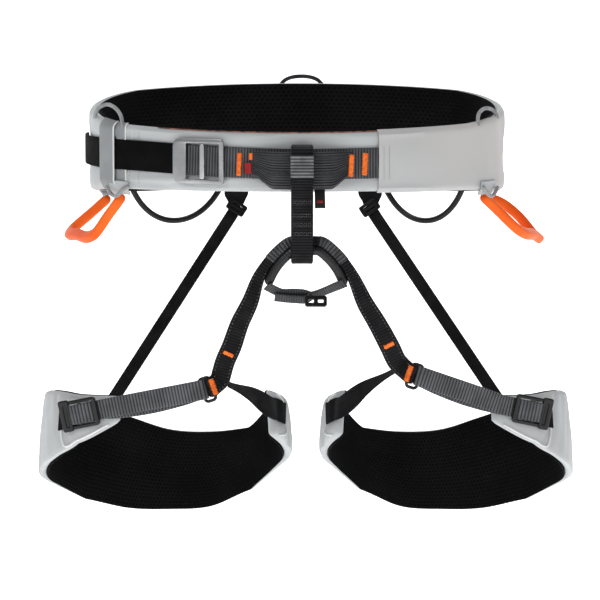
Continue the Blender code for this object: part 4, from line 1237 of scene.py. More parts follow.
    def keeper(self) -> None:
        """The tape over the tail, its pale edge, and the narrow fold that passes under the webbing."""
        for name, middle, width, over, nodes in (
            ("tail_keeper_tape", -51.8, 18.0 * MM, True, ("tail_keeper",)),
            ("tail_keeper_fold", -41.8, 9.5 * MM, False, ()),
        ):
            half = width / 2.0 / WAIST.side_radius
            angle = math.radians(middle) + np.linspace(-half, half, 14)
            flat = np.full(len(angle), 1.3 * MM)
            out, z = round_edges(waist_bottom(angle) + 0.8 * MM, waist_top(angle), self.edge_radius, flat, 30)
            beyond = np.abs(z - webbing_middle(angle)[:, None]) - 13.2 * MM
            if over:
                out = out + 2.6 * MM * (1.0 - ease((beyond - 7.0 * MM) / (7.0 * MM)))
            outer = on_waist(angle[:, None], out, z)
            piece = slab(name, outer, 1.0 * MM, lengths_along(outer[:, 10]))
            self.wardrobe.dress(piece, KEEPER_TAPE, "waist", *nodes)
            edge = outer[-1] + 0.1 * MM
            piece = tube(name + "_edge", edge, 0.65 * MM, (-0.6, 0.6, 0.0), 8)
            self.wardrobe.dress(piece, PALE_EDGE, "waist")

    def bows(self) -> None:
        """The grey cord bows over and under each front quarter."""
        share = np.linspace(0.0, 1.0, 48)
        ends = np.abs(2.0 * share - 1.0)
        for side, rise, first, span, low_first in (
            ("right", 9.5, 41.0, 29.0, 37.0),
            ("left", 6.5, 46.0, 21.0, 47.0),
        ):
            sign = SIDES[side]
            angle = sign * np.radians(first + span * share)
            lift = rise * np.sin(math.pi * share) ** 0.7 + 1.8 - 5.0 * ends**14
            path = on_waist(angle, -4.0 * MM + 4.4 * MM * ends**3, waist_top(angle) + lift * MM)
            piece = tube(f"cord_bow_top_{side}", path, self.cord_radius, (0, 0, 1))
            self.wardrobe.dress(piece, CORD, "waist", f"top_bow_{side}")
            angle = sign * np.radians(low_first + 14.0 * share)
            drop = 8.0 * MM * np.sin(math.pi * share)
            path = on_waist(angle, 4.8 * MM, waist_bottom(angle) + 3.0 * MM - drop)
            piece = tube(f"cord_bow_low_{side}", path, self.cord_radius, outward(angle[len(angle) // 2]))
            self.wardrobe.dress(piece, CORD, "waist", f"bottom_bow_{side}")

    def haul_loop(self) -> None:
        """The thin loop that stands up at the back."""
        low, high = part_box("haul_loop")
        x, y = (low.x + high.x) / 2.0, (low.y + high.y) / 2.0
        shape = ((-21, 24), (-20.5, 36), (-14, 46.5), (0, 50), (14, 46.5), (20.5, 36), (21, 24))
        path = smooth_path([(x + a * MM, y, b * MM) for a, b in shape], 1.2 * MM)
        piece = tube("haul_cord", path, self.haul_radius, (0, 1, 0))
        self.wardrobe.dress(piece, DARK_CORD, "haul_loop", "haul_loop")

    def make(self) -> None:
        """Builds the whole belt."""
        self.pad()
        self.side_panel()
        self.edges()
        self.webbing()
        self.buckle()
        self.keeper()
        self.bows()
        self.haul_loop()


# Tie-in band, belay loop and what hangs at the belt's edges


@dataclass
class TieIn:
    """The upper tie-in band, the belay loop through it, the label and the tab beside them."""

    wardrobe: Wardrobe
    left_x: float = -33.0 * MM
    right_x: float = 41.0 * MM
    band_thickness: float = 3.0 * MM
    band_lift: float = 3.1 * MM
    band_top: float = 5.0 * MM
    band_ribs: int = 12
    loop_half: float = 5.6 * MM
    loop_thickness: float = 3.2 * MM
    loop_width: float = 17.0 * MM
    loop_fold: float = -22.0 * MM
    loop_pitch: float = 2.1 * MM
    wrap_pitch: float = 2.43 * MM
    row_heights: tuple[float, ...] = (-31.5, -41.5, -48.5, -55.5)

    @property
    def belay_x(self) -> float:
        """The belay loop's middle."""
        low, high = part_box("belay_loop")
        return (low.x + high.x) / 2.0

    @property
    def belay_y(self) -> float:
        """The middle of the belay loop from front to back."""
        low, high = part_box("belay_loop")
        return (low.y + high.y) / 2.0

    def band(self) -> None:
        """The band: flat at its ends, off the belt in the middle, with ribs that close up at its ends."""
        x = np.linspace(self.left_x, self.right_x, 130)
        inside = np.minimum(x - self.left_x, self.right_x - x)
        high_lift = -self.belay_y - 1.5 * MM - WAIST.half_depth
        lift = self.band_lift + (high_lift - self.band_lift) * ease(inside / (24.0 * MM))
        low = (-21.0 + 9.0 * (1.0 - ease(inside / (16.0 * MM)))) * MM
        share = np.linspace(0.0, 1.0, 66)
        z = low[:, None] + (self.band_top - low[:, None]) * share
        angle = np.array([WAIST.angle_of(value) for value in x])
        crown = 0.5 * MM * np.sin(math.pi * share) * ease(inside / (10.0 * MM))[:, None]
        outer = on_waist(angle[:, None], lift[:, None] + self.band_thickness + crown, z)
        ribs = -0.30 * MM * np.cos(TAU * self.band_ribs * share) * np.ones((len(x), 1))
        line = -0.35 * MM * hump(share, 0.43, 0.018)
        piece = slab("tie_in_band_web", outer, self.band_thickness, x - x[0], ribs + line)
        self.wardrobe.dress(piece, BAND_WEB, "waist", "tie_in_band")
        out = np.array([0.0, -1.0, 0.0])
        for name, part in (("left", outer[14:44, 28]), ("right", outer[78:122, 28])):
            seam = part + 0.25 * MM * out
            line = stitch_line(f"tie_in_stitches_{name}", seam, out, 2.4 * MM, 1.5 * MM, 0.22 * MM)
            self.wardrobe.dress(line, GREY_THREAD, "waist")
        tacks = (
            # name, x, z, distance off the shell, length and width, in millimetres
            ("a", -43.5, -4.2, 3.2, 17.5, 3.8),
            ("b", -34.2, 2.2, 5.8, 5.4, 3.0),
            ("c", 40.2, -4.9, 7.0, 17.0, 4.0),
            ("d", 51.2, -4.2, 3.6, 17.0, 4.6),
        )
        for name, *sizes in tacks:
            at, height, off, length, width = np.array(sizes) * MM
            angle = WAIST.angle_of(at)
            middle = on_waist(angle, off, height)
            piece = bartack(f"waist_bartack_{name}", middle, (0.05, 0, 1), outward(angle), length, width)
            self.wardrobe.dress(piece, ORANGE_THREAD, "waist")

    def loop(self) -> None:
        """The sewn loop in two parts that meet where it folds, with its ribbed wrap and its stitch rows."""
        middle = self.loop_half + self.loop_thickness / 2.0
        top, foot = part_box("belay_loop_top")[1].z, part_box("belay_loop")[0].z
        turn = np.linspace(0.0, math.pi, 26)

        def ribs(run: Array, place: Array) -> Array:
            """Fine ribs across the loop, and a little rise along its edges."""
            edges = np.abs(place / (self.loop_width / 2.0)) ** 6
            return 0.3 * MM * np.sin(math.pi * run / self.loop_pitch) ** 2 + 0.3 * MM * edges

        def wrap(run: Array, _: Array) -> Array:
            """Seven rounded ribs."""
            return 0.55 * MM * np.sin(math.pi * run / self.wrap_pitch) ** 2

        for name, end, sign, body, node in (
            ("belay_loop_upper", top, 1.0, "waist", "belay_loop_top"),
            ("belay_loop_lower", foot, -1.0, "belay_loop", "belay_loop"),
        ):
            centre = end - sign * (self.loop_thickness / 2.0 + middle)
            straight = np.linspace(self.loop_fold + sign * 0.05 * MM, centre, 40)
            y = np.concatenate([np.full(40, -middle), -middle * np.cos(turn)[1:-1], np.full(40, middle)])
            z = np.concatenate([straight, centre + sign * middle * np.sin(turn)[1:-1], straight[::-1]])
            path = np.stack([np.full_like(y, self.belay_x), self.belay_y + y, z], -1)
            piece = ribbon(name, path, (1, 0, 0), self.loop_width, self.loop_thickness, ribs, 11)
            self.wardrobe.dress(piece, BELAY_WEB, body, node)
        face = self.belay_y - middle - self.loop_thickness / 2.0
        z = np.linspace(-12.8 * MM, 4.2 * MM, 90)
        path = np.stack([np.full_like(z, self.belay_x), np.full_like(z, face - 0.1 * MM), z], -1)
        piece = ribbon("belay_wrap", path, (1, 0, 0), self.loop_width + 0.6 * MM, 1.2 * MM, wrap)
        self.wardrobe.dress(piece, GREY_RIBS, "waist")
        x = np.linspace(-6.4 * MM, 6.4 * MM, 9) + self.belay_x
        heights = [(height + shift) * MM for height in self.row_heights for shift in (-0.9, 0.9)]
        z, x = (table.ravel() for table in np.meshgrid(heights, x, indexing="ij"))
        places = np.stack([x, np.full_like(x, face - 0.15 * MM), z], -1)
        slant = np.where(np.arange(len(places)) % 2 == 0, 1.0, -1.0)
        along = unit(np.stack([np.ones(len(places)), np.zeros(len(places)), 0.7 * slant], -1))
        out = np.tile([0.0, -1.0, 0.0], (len(places), 1))
        piece = stitches("belay_stitch_rows", places, along, out, 1.5 * MM, 0.2 * MM)
        self.wardrobe.dress(piece, GREY_THREAD, "belay_loop")

    def labels(self) -> None:
        """The blank label beside the loop and the blank red tab at the band's left end."""
        low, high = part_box("size_label")
        share = np.linspace(0.0, 1.0, 16)
        z = high.z + (low.z - high.z) * share
        bulge = 1.2 * MM * np.sin(math.pi * share)
        path = np.stack([(low.x + high.x) / 2.0 + 0.4 * MM * share, low.y - bulge, z], -1)
        piece = ribbon("blank_label", path, (1, 0, 0), high.x - low.x, 0.7 * MM)
        self.wardrobe.dress(piece, LABEL, "waist", "size_label")
        part = path[9:12] - np.array([0.0, 0.45 * MM, 0.0])
        piece = ribbon("label_mark", part, (1, 0, 0), 4.2 * MM, 0.3 * MM)
        self.wardrobe.dress(piece, RED_TAPE, "waist")
        low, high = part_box("side_tab")
        place = np.array([(low.x + high.x) / 2.0, low.y - 0.3 * MM, (low.z + high.z) / 2.0])
        angle = WAIST.angle_of(place[0])
        z = np.linspace(-4.0 * MM, 4.0 * MM, 12)
        path = np.stack([0.0 * z, -0.6 * MM * np.cos(z / (4.0 * MM) * 1.4), z], -1) + place
        across = (math.cos(angle), math.sin(angle), 0.0)
        piece = ribbon("blank_tab", path, across, 5.2 * MM, 0.6 * MM)
        self.wardrobe.dress(piece, RED_TAPE, "waist", "side_tab")

    def make(self) -> None:
        """Builds the band, the loop and the labels."""
        self.band()
        self.loop()
        self.labels()


@dataclass
class GearLoops:
    """The moulded front loops, their sewn anchors and the plain rear loops."""

    wardrobe: Wardrobe
    radius: float = 3.7 * MM
    shown_radius: float = 4.6 * MM
    rear_radius: float = 2.4 * MM
    rear_hang: float = 4.5 * MM
    rear_depth: float = 43.0 * MM
    anchor_width: float = 18.0 * MM
    anchor_height: float = 10.0 * MM
    anchor_thickness: float = 1.1 * MM
    ends: dict = field(default_factory=lambda: {"right": (44.0, 117.0), "left": (54.0, 119.0)})
    flares: dict = field(
        default_factory=lambda: {
            "right": ((25.0, -34.0), (32.0, -28.0)),
            "left": ((31.0, -30.0), (44.0, -32.0)),
        }
    )

    def front_path(self, side: str) -> Array:
        """The moulded loop's middle line, from its front end to its back end."""
        sign = SIDES[side]
        ends = []
        for angle in np.radians(self.ends[side]):
            height = waist_bottom(angle) - self.radius - 1.0 * MM
            ends.append(on_waist(sign * angle, -self.radius - GAP, height))
        front, back = ends
        (front_out, front_drop), (back_out, back_drop) = self.flares[side]
        low_front = front + np.array([sign * front_out, 13.0, front_drop]) * MM
        low_back = back + np.array([sign * back_out, -8.0, back_drop]) * MM
        middle = (low_front + low_back) / 2.0 + np.array([sign * 3.0 * MM, 0.0, 0.0])
        bow = np.array([{"right": 0.0, "left": 8.0 * MM}[side], 0.0, 0.0])
        return smooth_path(
            [
                front,
                front + 0.45 * (low_front - front),
                front + 0.95 * (low_front - front),
                low_front + 0.12 * (middle - low_front),
                middle,
                low_back + 0.12 * (middle - low_back),
                back + 0.95 * (low_back - back),
                back + 0.45 * (low_back - back) + bow,
                back + 0.12 * (low_back - back) + bow,
                back,
            ],
            1.0 * MM,
        )

    def front(self, side: str) -> None:
        """One moulded loop and the pale cloth that holds its two ends."""
        sign = SIDES[side]
        path = self.front_path(side)
        plane = np.cross(path[len(path) // 3] - path[0], path[-1] - path[0])
        piece = tube(
            f"moulded_loop_{side}", path, self.shown_radius, unit(plane), 20, flatness=0.85, squareness=0.66
        )
        self.wardrobe.dress(piece, ORANGE, f"front_loop_{side}", f"front_gear_loop_{side}")
        half = self.anchor_width / 2.0 / WAIST.side_radius
        share = np.linspace(0.0, 1.0, 16)
        tuck = 3.4 * MM * ease((0.5 - share) / 0.5)
        for name, middle, lift in zip(("front", "back"), np.radians(self.ends[side]), (3.0 * MM, 1.5 * MM)):
            angle = sign * (middle + np.linspace(-half, half, 22))
            z = waist_bottom(middle) - 3.5 * MM + self.anchor_height * share
            outer = on_waist(angle[:, None], lift - tuck, z)[:: int(sign)]
            run = np.linspace(0.0, self.anchor_width, len(angle))
            piece = slab(f"loop_anchor_{name}_{side}", outer, self.anchor_thickness, run)
            self.wardrobe.dress(piece, SHELL, "waist", f"gear_anchor_{name}_{side}")

    def rear(self, side: str) -> None:
        """One plain rear loop, hanging from two places just outside the belt."""
        sign = SIDES[side]
        inner_angle = {"right": 164.5, "left": 161.7}[side]
        angles = sign * np.radians([139.0, inner_angle])
        outer, inner = on_waist(angles, self.rear_hang, -24.0 * MM)
        share = np.linspace(0.0, 1.0, 120)[:, None]
        slide = share - 0.02 * np.sin(TAU * share)
        fall = self.rear_depth * np.sin(math.pi * share**0.95) ** 0.62
        path = outer + slide * (inner - outer) - fall * np.array([0.0, 0.0, 1.0])
        path = smooth_path(path, 1.0 * MM)
        plane = unit(np.cross(inner - outer, (0.0, 0.0, 1.0)))
        piece = tube(f"rear_loop_{side}", path, self.rear_radius, plane)
        self.wardrobe.dress(piece, BLACK_MOULDING, f"rear_loop_{side}", f"rear_gear_loop_{side}")

    def make(self) -> None:
        """Builds both sides."""
        for side in SIDES:
            self.front(side)
            self.rear(side)


@dataclass
class Risers:
    """The elastic straps at the back, with their tabs and ladder buckles."""

    wardrobe: Wardrobe
    width: float = 10.0 * MM
    thickness: float = 1.5 * MM
    tab_thickness: float = 1.2 * MM
    anchor_width: float = 14.0 * MM
    anchor_height: float = 30.0 * MM
    top_z: float = -58.0 * MM
    bottom_angle: float = math.radians(160.0)

    def make_side(self, side: str, legs: "LegLoop") -> None:
        """One riser: its tab under the belt, its buckle, its strap and its tab on the leg loop.

        Args:
            side: Which side of the harness.
            legs: The leg loop that the strap runs down to.
        """
        sign = SIDES[side]
        angle = math.pi - WAIST.angle_of(5.0 * MM + sign * 55.0 * MM)
        top = on_waist(angle, 0.0, self.top_z)
        upper = legs.edge(np.array([self.bottom_angle]), 1.0)[0]
        bottom = legs.at(self.bottom_angle, 0.0, upper + 9.0 * MM)
        down = unit(bottom - top)
        across = unit(np.cross(down, (0.0, 1.0, 0.0)))
        z = np.linspace(-57.0 * MM, -18.0 * MM, 22)
        widths = (11.0 + 9.0 * ease((z + 57.0 * MM) / (11.0 * MM))) * MM
        here = angle + np.linspace(-0.5, 0.5, 10)[:, None] * widths / WAIST.front_radius
        outer = on_waist(here, (1.6 + 1.4 * ease((-44.0 * MM - z) / (7.0 * MM))) * MM, z)
        piece = slab(f"riser_tab_web_{side}", outer, self.tab_thickness, np.linspace(0.0, 11.0 * MM, 10))
        self.wardrobe.dress(piece, BLACK_WEB, "waist", f"riser_tab_{side}")
        frame_matrix = Matrix.Translation(top) @ Matrix(
            np.stack([across, -down, np.cross(across, -down)], -1).tolist()
        ).to_4x4()
        outlines = [
            block(8.2 * MM, 5.0 * MM, 1.8 * MM),
            block(4.8 * MM, 0.6 * MM, 0.6 * MM, 2, 1.8 * MM),
            block(4.8 * MM, 0.6 * MM, 0.6 * MM, 2, -1.8 * MM),
        ]
        piece = plate(f"riser_ladder_{side}", outlines, 2.2 * MM, 0.4 * MM, frame_matrix)
        self.wardrobe.dress(piece, BLACK_MOULDING, f"riser_buckle_{side}", f"riser_buckle_{side}")
        length = float(np.linalg.norm(bottom - top))
        run = np.linspace(-2.4 * MM, length + 1.0 * MM, 240)
        lift = 2.1 * MM * (1.0 - ease((run - 4.0 * MM) / (7.0 * MM)))
        outwards = np.cross(down, across)
        outwards = outwards if outwards[1] > 0.0 else -outwards
        path = top + run[:, None] * down + lift[:, None] * outwards

        def knit(run: Array, place: Array) -> Array:
            """Fine ribs across the elastic, and two raised edges."""
            return 0.1 * MM * np.sin(TAU * run / (2.6 * MM)) + 0.12 * MM * (np.abs(place) > 3.6 * MM)

        piece = ribbon(f"riser_elastic_{side}", path, across, self.width, self.thickness, knit, 11)
        self.wardrobe.dress(piece, ELASTIC, "", f"riser_strap_{side}", f"riser_strap_end_{side}")
        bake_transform(piece)
        half = self.anchor_width / 2.0 / LEG.front_radius
        turn = self.bottom_angle + np.linspace(-half, half, 8)[:, None]
        z = upper - 20.0 * MM + np.linspace(0.0, self.anchor_height, 14)
        outer = legs.at(turn, 1.6 * MM, z)[:: int(sign)]
        run = np.linspace(0.0, self.anchor_width, len(turn))
        piece = slab(f"riser_anchor_web_{side}", outer, self.tab_thickness, run)
        self.wardrobe.dress(piece, BLACK_WEB, f"leg_{side}", f"riser_anchor_{side}")


# Bridge

SEAT_X = 7.0 * MM
RING_Y = -95.0 * MM
RINGS = {"right": (76.7 * MM, -179.4 * MM), "left": (84.5 * MM, -169.0 * MM)}


def seat(side: str, x: float, y: float, z: float) -> Array:
    """A point at a distance outwards from the middle of the seat, on one side."""
    return np.array([SEAT_X + SIDES[side] * x, y, z])


def frame_of(place: Array, along: Sequence[float], up: Sequence[float]) -> Matrix:
    """A frame with local X along a strap, local Y across it and local Z out of its face."""
    x_axis = unit(np.asarray(along, float))
    z_axis = unit(np.cross(x_axis, up))
    matrix = Matrix(np.stack([x_axis, np.cross(z_axis, x_axis), z_axis], -1).tolist()).to_4x4()
    matrix.translation = Vector(place)
    return matrix


def ring_frame(side: str) -> Matrix:
    """The ring's frame: local X runs outwards through it and local Y along its two long bars."""
    x, z = RINGS[side]
    sign = SIDES[side]
    return frame_of(seat(side, x, RING_Y, z), (sign * 0.94, 0.12, -0.33), (sign * 0.33, 0.0, 0.94))


@dataclass
class Bridge:
    """The webbing arch with its sleeve, the cross strap at its foot and the two rings."""

    wardrobe: Wardrobe
    front: float = -123.6
    thickness: float = 3.4 * MM
    rib_pitch: float = 2.4 * MM
    shoulder_pitch: float = 2.7 * MM
    sleeve_radius: float = 3.7 * MM
    bight_radius: float = 3.1 * MM
    cross_width: float = 8.5 * MM
    cross_thickness: float = 1.4 * MM
    cross_pitch: float = 1.9 * MM
    ring_half: float = 4.3 * MM
    wire_radius: float = 1.3 * MM

    def half(self, side: str) -> Array:
        """The webbing's middle line from the top of the arch to one ring, with its width."""
        x, z = RINGS[side]
        spread = x / MM - 76.7
        rows = (
            (0.0, self.front, -61.8, 7.5),
            (12.0, self.front, -62.4, 7.5),
            (21.5, self.front + 0.3, -69.5, 7.5),
            (29.5, self.front + 0.9, -78.8, 8.0),
            (35.5, self.front + 2.0, -88.7, 9.5),
            (43.0 + 0.26 * spread, self.front + 5.0, -109.6, 13.0),
            (51.0 + 0.51 * spread, self.front + 11.5, -127.0, 14.5),
            (57.5 + 0.94 * spread, self.front + 18.0, -146.0, 15.5),
            (62.5 + 1.03 * spread, self.front + 24.0, -158.0, 15.5),
            (x / MM - 10.0, RING_Y / MM, z / MM + 6.2, 15.5),
        )
        table = smooth_path(np.array(rows) * MM, 0.9 * MM)
        table[:, 0] = SEAT_X + SIDES[side] * table[:, 0]
        return table

    def bight(self, side: str) -> Array:
        """The webbing's last turn, round the ring's inner bar."""
        ring = np.array(ring_frame(side))
        along, out = ring[:3, 0], ring[:3, 2]
        out = out if out[1] < 0.0 else -out
        bar = ring[:3, 3] - self.ring_half * along
        turn = np.radians(np.linspace(100.0, -80.0, 14))[:, None]
        return bar + (along * np.cos(turn) + out * np.sin(turn)) * self.bight_radius

    def webbing(self) -> None:
        """The whole arch as one strap, its ribbed shoulders, its stitching and its bartacks."""
        right, left = self.half("right"), self.half("left")
        turns = {side: self.bight(side) for side in SIDES}
        table = np.concatenate([right[::-1], left[1:]])
        path = np.concatenate([turns["right"][::-1], table[:, :3], turns["left"]])
        turn_count = len(turns["right"])
        widths = np.pad(table[:, 3], turn_count, mode="edge")
        tangent = unit(np.gradient(path, axis=0))
        across = unit(np.cross(tangent, (0.0, -1.0, 0.0)))
        run = lengths_along(path)
        for side, from_end in (("right", run), ("left", run[-1] - run)):
            bar = np.array(ring_frame(side))[:3, 1]
            bar = bar * np.sign(across[np.argmin(np.abs(from_end - 30.0 * MM))] @ bar)
            share = (1.0 - ease((from_end - 13.0 * MM) / (14.0 * MM)))[:, None]
            across = unit(across * (1.0 - share) + bar * share)

        def weave(run: Array, place: Array) -> Array:
            """Fine ribs across and a shallow dip down the middle."""
            ribs = 0.25 * MM * np.sin(math.pi * run / self.rib_pitch) ** 2
            return ribs - 0.3 * MM * hump(place, 0.0, 1.6 * MM)

        def shoulder(run: Array, _: Array) -> Array:
            """Rounded ribs, further apart."""
            return 0.5 * MM * np.sin(math.pi * run / self.shoulder_pitch) ** 2

        piece = ribbon("bridge_web", path, across, widths, self.thickness, weave, 13)
        self.wardrobe.dress(piece, BRIDGE_WEB, "bridge", "bridge_webbing")
        centre = run[len(right) - 1 + turn_count]
        for side, low, high in (("right", -34.0, -9.5), ("left", 9.5, 36.0)):
            part = (run - centre > low * MM) & (run - centre < high * MM)
            fine = smooth_path(np.column_stack([path[part], across[part], widths[part]]), 0.4 * MM)
            width, thickness = fine[:, 6] + 0.7 * MM, self.thickness + 0.6 * MM
            piece = ribbon(f"arch_wrap_{side}", fine[:, :3], fine[:, 3:6], width, thickness, shoulder)
            self.wardrobe.dress(piece, ARCH_RIBS, "bridge")
        lower = (path[:, 2] < -84.0 * MM) & (np.minimum(run, run[-1] - run) > 9.0 * MM)
        for side, part in (("right", lower & (run < centre)), ("left", lower & (run > centre))):
            line, reach, width = path[part], across[part], widths[part][:, None]
            out = unit(np.cross(np.gradient(line, axis=0), reach))
            out = out * np.where(out[:, 1:2] > 0.0, -1.0, 1.0)
            for number, share in enumerate((-0.36, 0.36)):
                seam = line + reach * width * share + out * (self.thickness / 2.0 + 0.12 * MM)
                name = f"bridge_stitches_{side}_{number}"
                piece = stitch_line(name, seam, out, 3.1 * MM, 1.5 * MM, 0.26 * MM)
                self.wardrobe.dress(piece, GREY_THREAD, "bridge")
            from_end = np.minimum(run, run[-1] - run)[part]
            for number, sizes in enumerate(((43.0, 8.5, 3.6), (11.5, 12.5, 4.6))):
                distance, length, thick = np.array(sizes) * MM
                at = np.argmin(np.abs(from_end - distance))
                middle = line[at] + out[at] * (self.thickness / 2.0 + 0.3 * MM)
                name = f"bridge_bartack_{side}_{number}"
                piece = bartack(name, middle, reach[at], out[at], length, thick)
                self.wardrobe.dress(piece, ORANGE_THREAD, "bridge")
        self.sleeve(path, across, widths)

    def sleeve(self, path: Array, across: Array, widths: Array) -> None:
        """The sleeve along the inside of the arch, its ends turning in towards the cross strap.

        Args:
            path: The webbing's middle line.
            across: The direction across it at each point.
            widths: Its width at each point.
        """
        inside = path[:, 2] > -93.0 * MM
        line = path + across * (widths / 2.0 + self.sleeve_radius - 0.1 * MM)[:, None]
        line = smooth_path(line[inside], 1.0 * MM)
        piece = tube("arch_sleeve", line, self.sleeve_radius, (0, 1, 0), 16)
        self.wardrobe.dress(piece, PROTECTOR, "bridge", "bridge_protector")

    def cross_strap(self) -> None:
        """The two halves of the strap across the foot of the arch, and the small buckle between them."""
        y = self.front
        across = unit(np.array([0.0, -0.64, 0.77]))
        lines = {
            "right": (
                (-23.0, y - 4.2, -96.0), (-11.6, y, -101.6), (-2.0, y, -101.6), (7.0, y, -102.6),
                (10.5, y, -104.2), (8.0, y, -106.0), (-2.0, y, -106.4), (-17.0, y, -104.9),
            ),
            "left": (
                (8.5, y - 1.6, -104.2), (13.0, y - 1.2, -103.2), (20.6, y, -100.6), (28.0, y - 1.0, -97.4),
                (36.5, y - 4.2, -93.5),
            ),
        }

        def ribs(run: Array, _: Array) -> Array:
            """Fine rounded ribs."""
            return 0.3 * MM * np.sin(math.pi * run / self.cross_pitch) ** 2

        for side, rows in lines.items():
            path = smooth_path(np.array(rows) * MM, 0.6 * MM)
            name = f"cross_strap_web_{side}"
            piece = ribbon(name, path, across, self.cross_width, self.cross_thickness, ribs)
            self.wardrobe.dress(piece, FINE_RIBBED, "bridge", f"cross_strap_{side}")
        low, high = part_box("cross_strap_buckle")
        middle = np.array([(low.x + high.x) / 2.0, low.y - 1.0 * MM, (low.z + high.z) / 2.0 + 2.6 * MM])
        outlines = [
            block(8.5 * MM, 4.5 * MM, 2.0 * MM),
            rounded(-5.8 * MM, -1.6 * MM, -1.4 * MM, 1.4 * MM, (0.6 * MM,) * 4, 2),
            rounded(1.6 * MM, 5.8 * MM, -1.4 * MM, 1.4 * MM, (0.6 * MM,) * 4, 2),
        ]
        place = Matrix.Translation(middle) @ Matrix.Rotation(math.radians(60.0), 4, "X")
        piece = plate("cross_ladder", outlines, 2.2 * MM, 0.7 * MM, place)
        self.wardrobe.dress(piece, BLACK_MOULDING, "bridge", "cross_strap_buckle")

    def rings(self) -> None:
        """The two wire rings."""
        for side in SIDES:
            outline = rounded(-self.ring_half, self.ring_half, -10.4 * MM, 8.2 * MM, (2.6 * MM,) * 4, 6)
            matrix = np.array(ring_frame(side))
            flat = np.column_stack([np.array(outline), np.zeros(len(outline)), np.ones(len(outline))])
            path = (flat @ matrix.T)[:, :3]
            piece = tube(f"wire_ring_{side}", path, self.wire_radius, matrix[:3, 2], 12, closed=True)
            self.wardrobe.dress(piece, DARK_METAL, "bridge", f"ring_{side}")

    def make(self) -> None:
        """Builds the whole bridge."""
        self.webbing()
        self.cross_strap()
        self.rings()


# Leg loops

LEG = Oval(101.0 * MM, 74.0 * MM, 64.0 * MM)
LEG_STATIONS = np.array(
    [
        (15.0, -201.0, 20.0), (28.0, -209.5, 35.0), (50.0, -216.0, 49.0), (75.0, -223.5, 60.0),
        (95.0, -231.0, 66.5), (125.0, -240.0, 74.0), (150.0, -251.5, 77.0), (167.0, -263.5, 73.0),
        (180.0, -269.0, 64.5), (195.0, -268.0, 60.0), (208.0, -259.0, 51.0), (235.0, -238.7, 49.5),
        (270.0, -224.5, 42.0), (308.0, -207.5, 36.0),
    ]
)  # fmt: skip


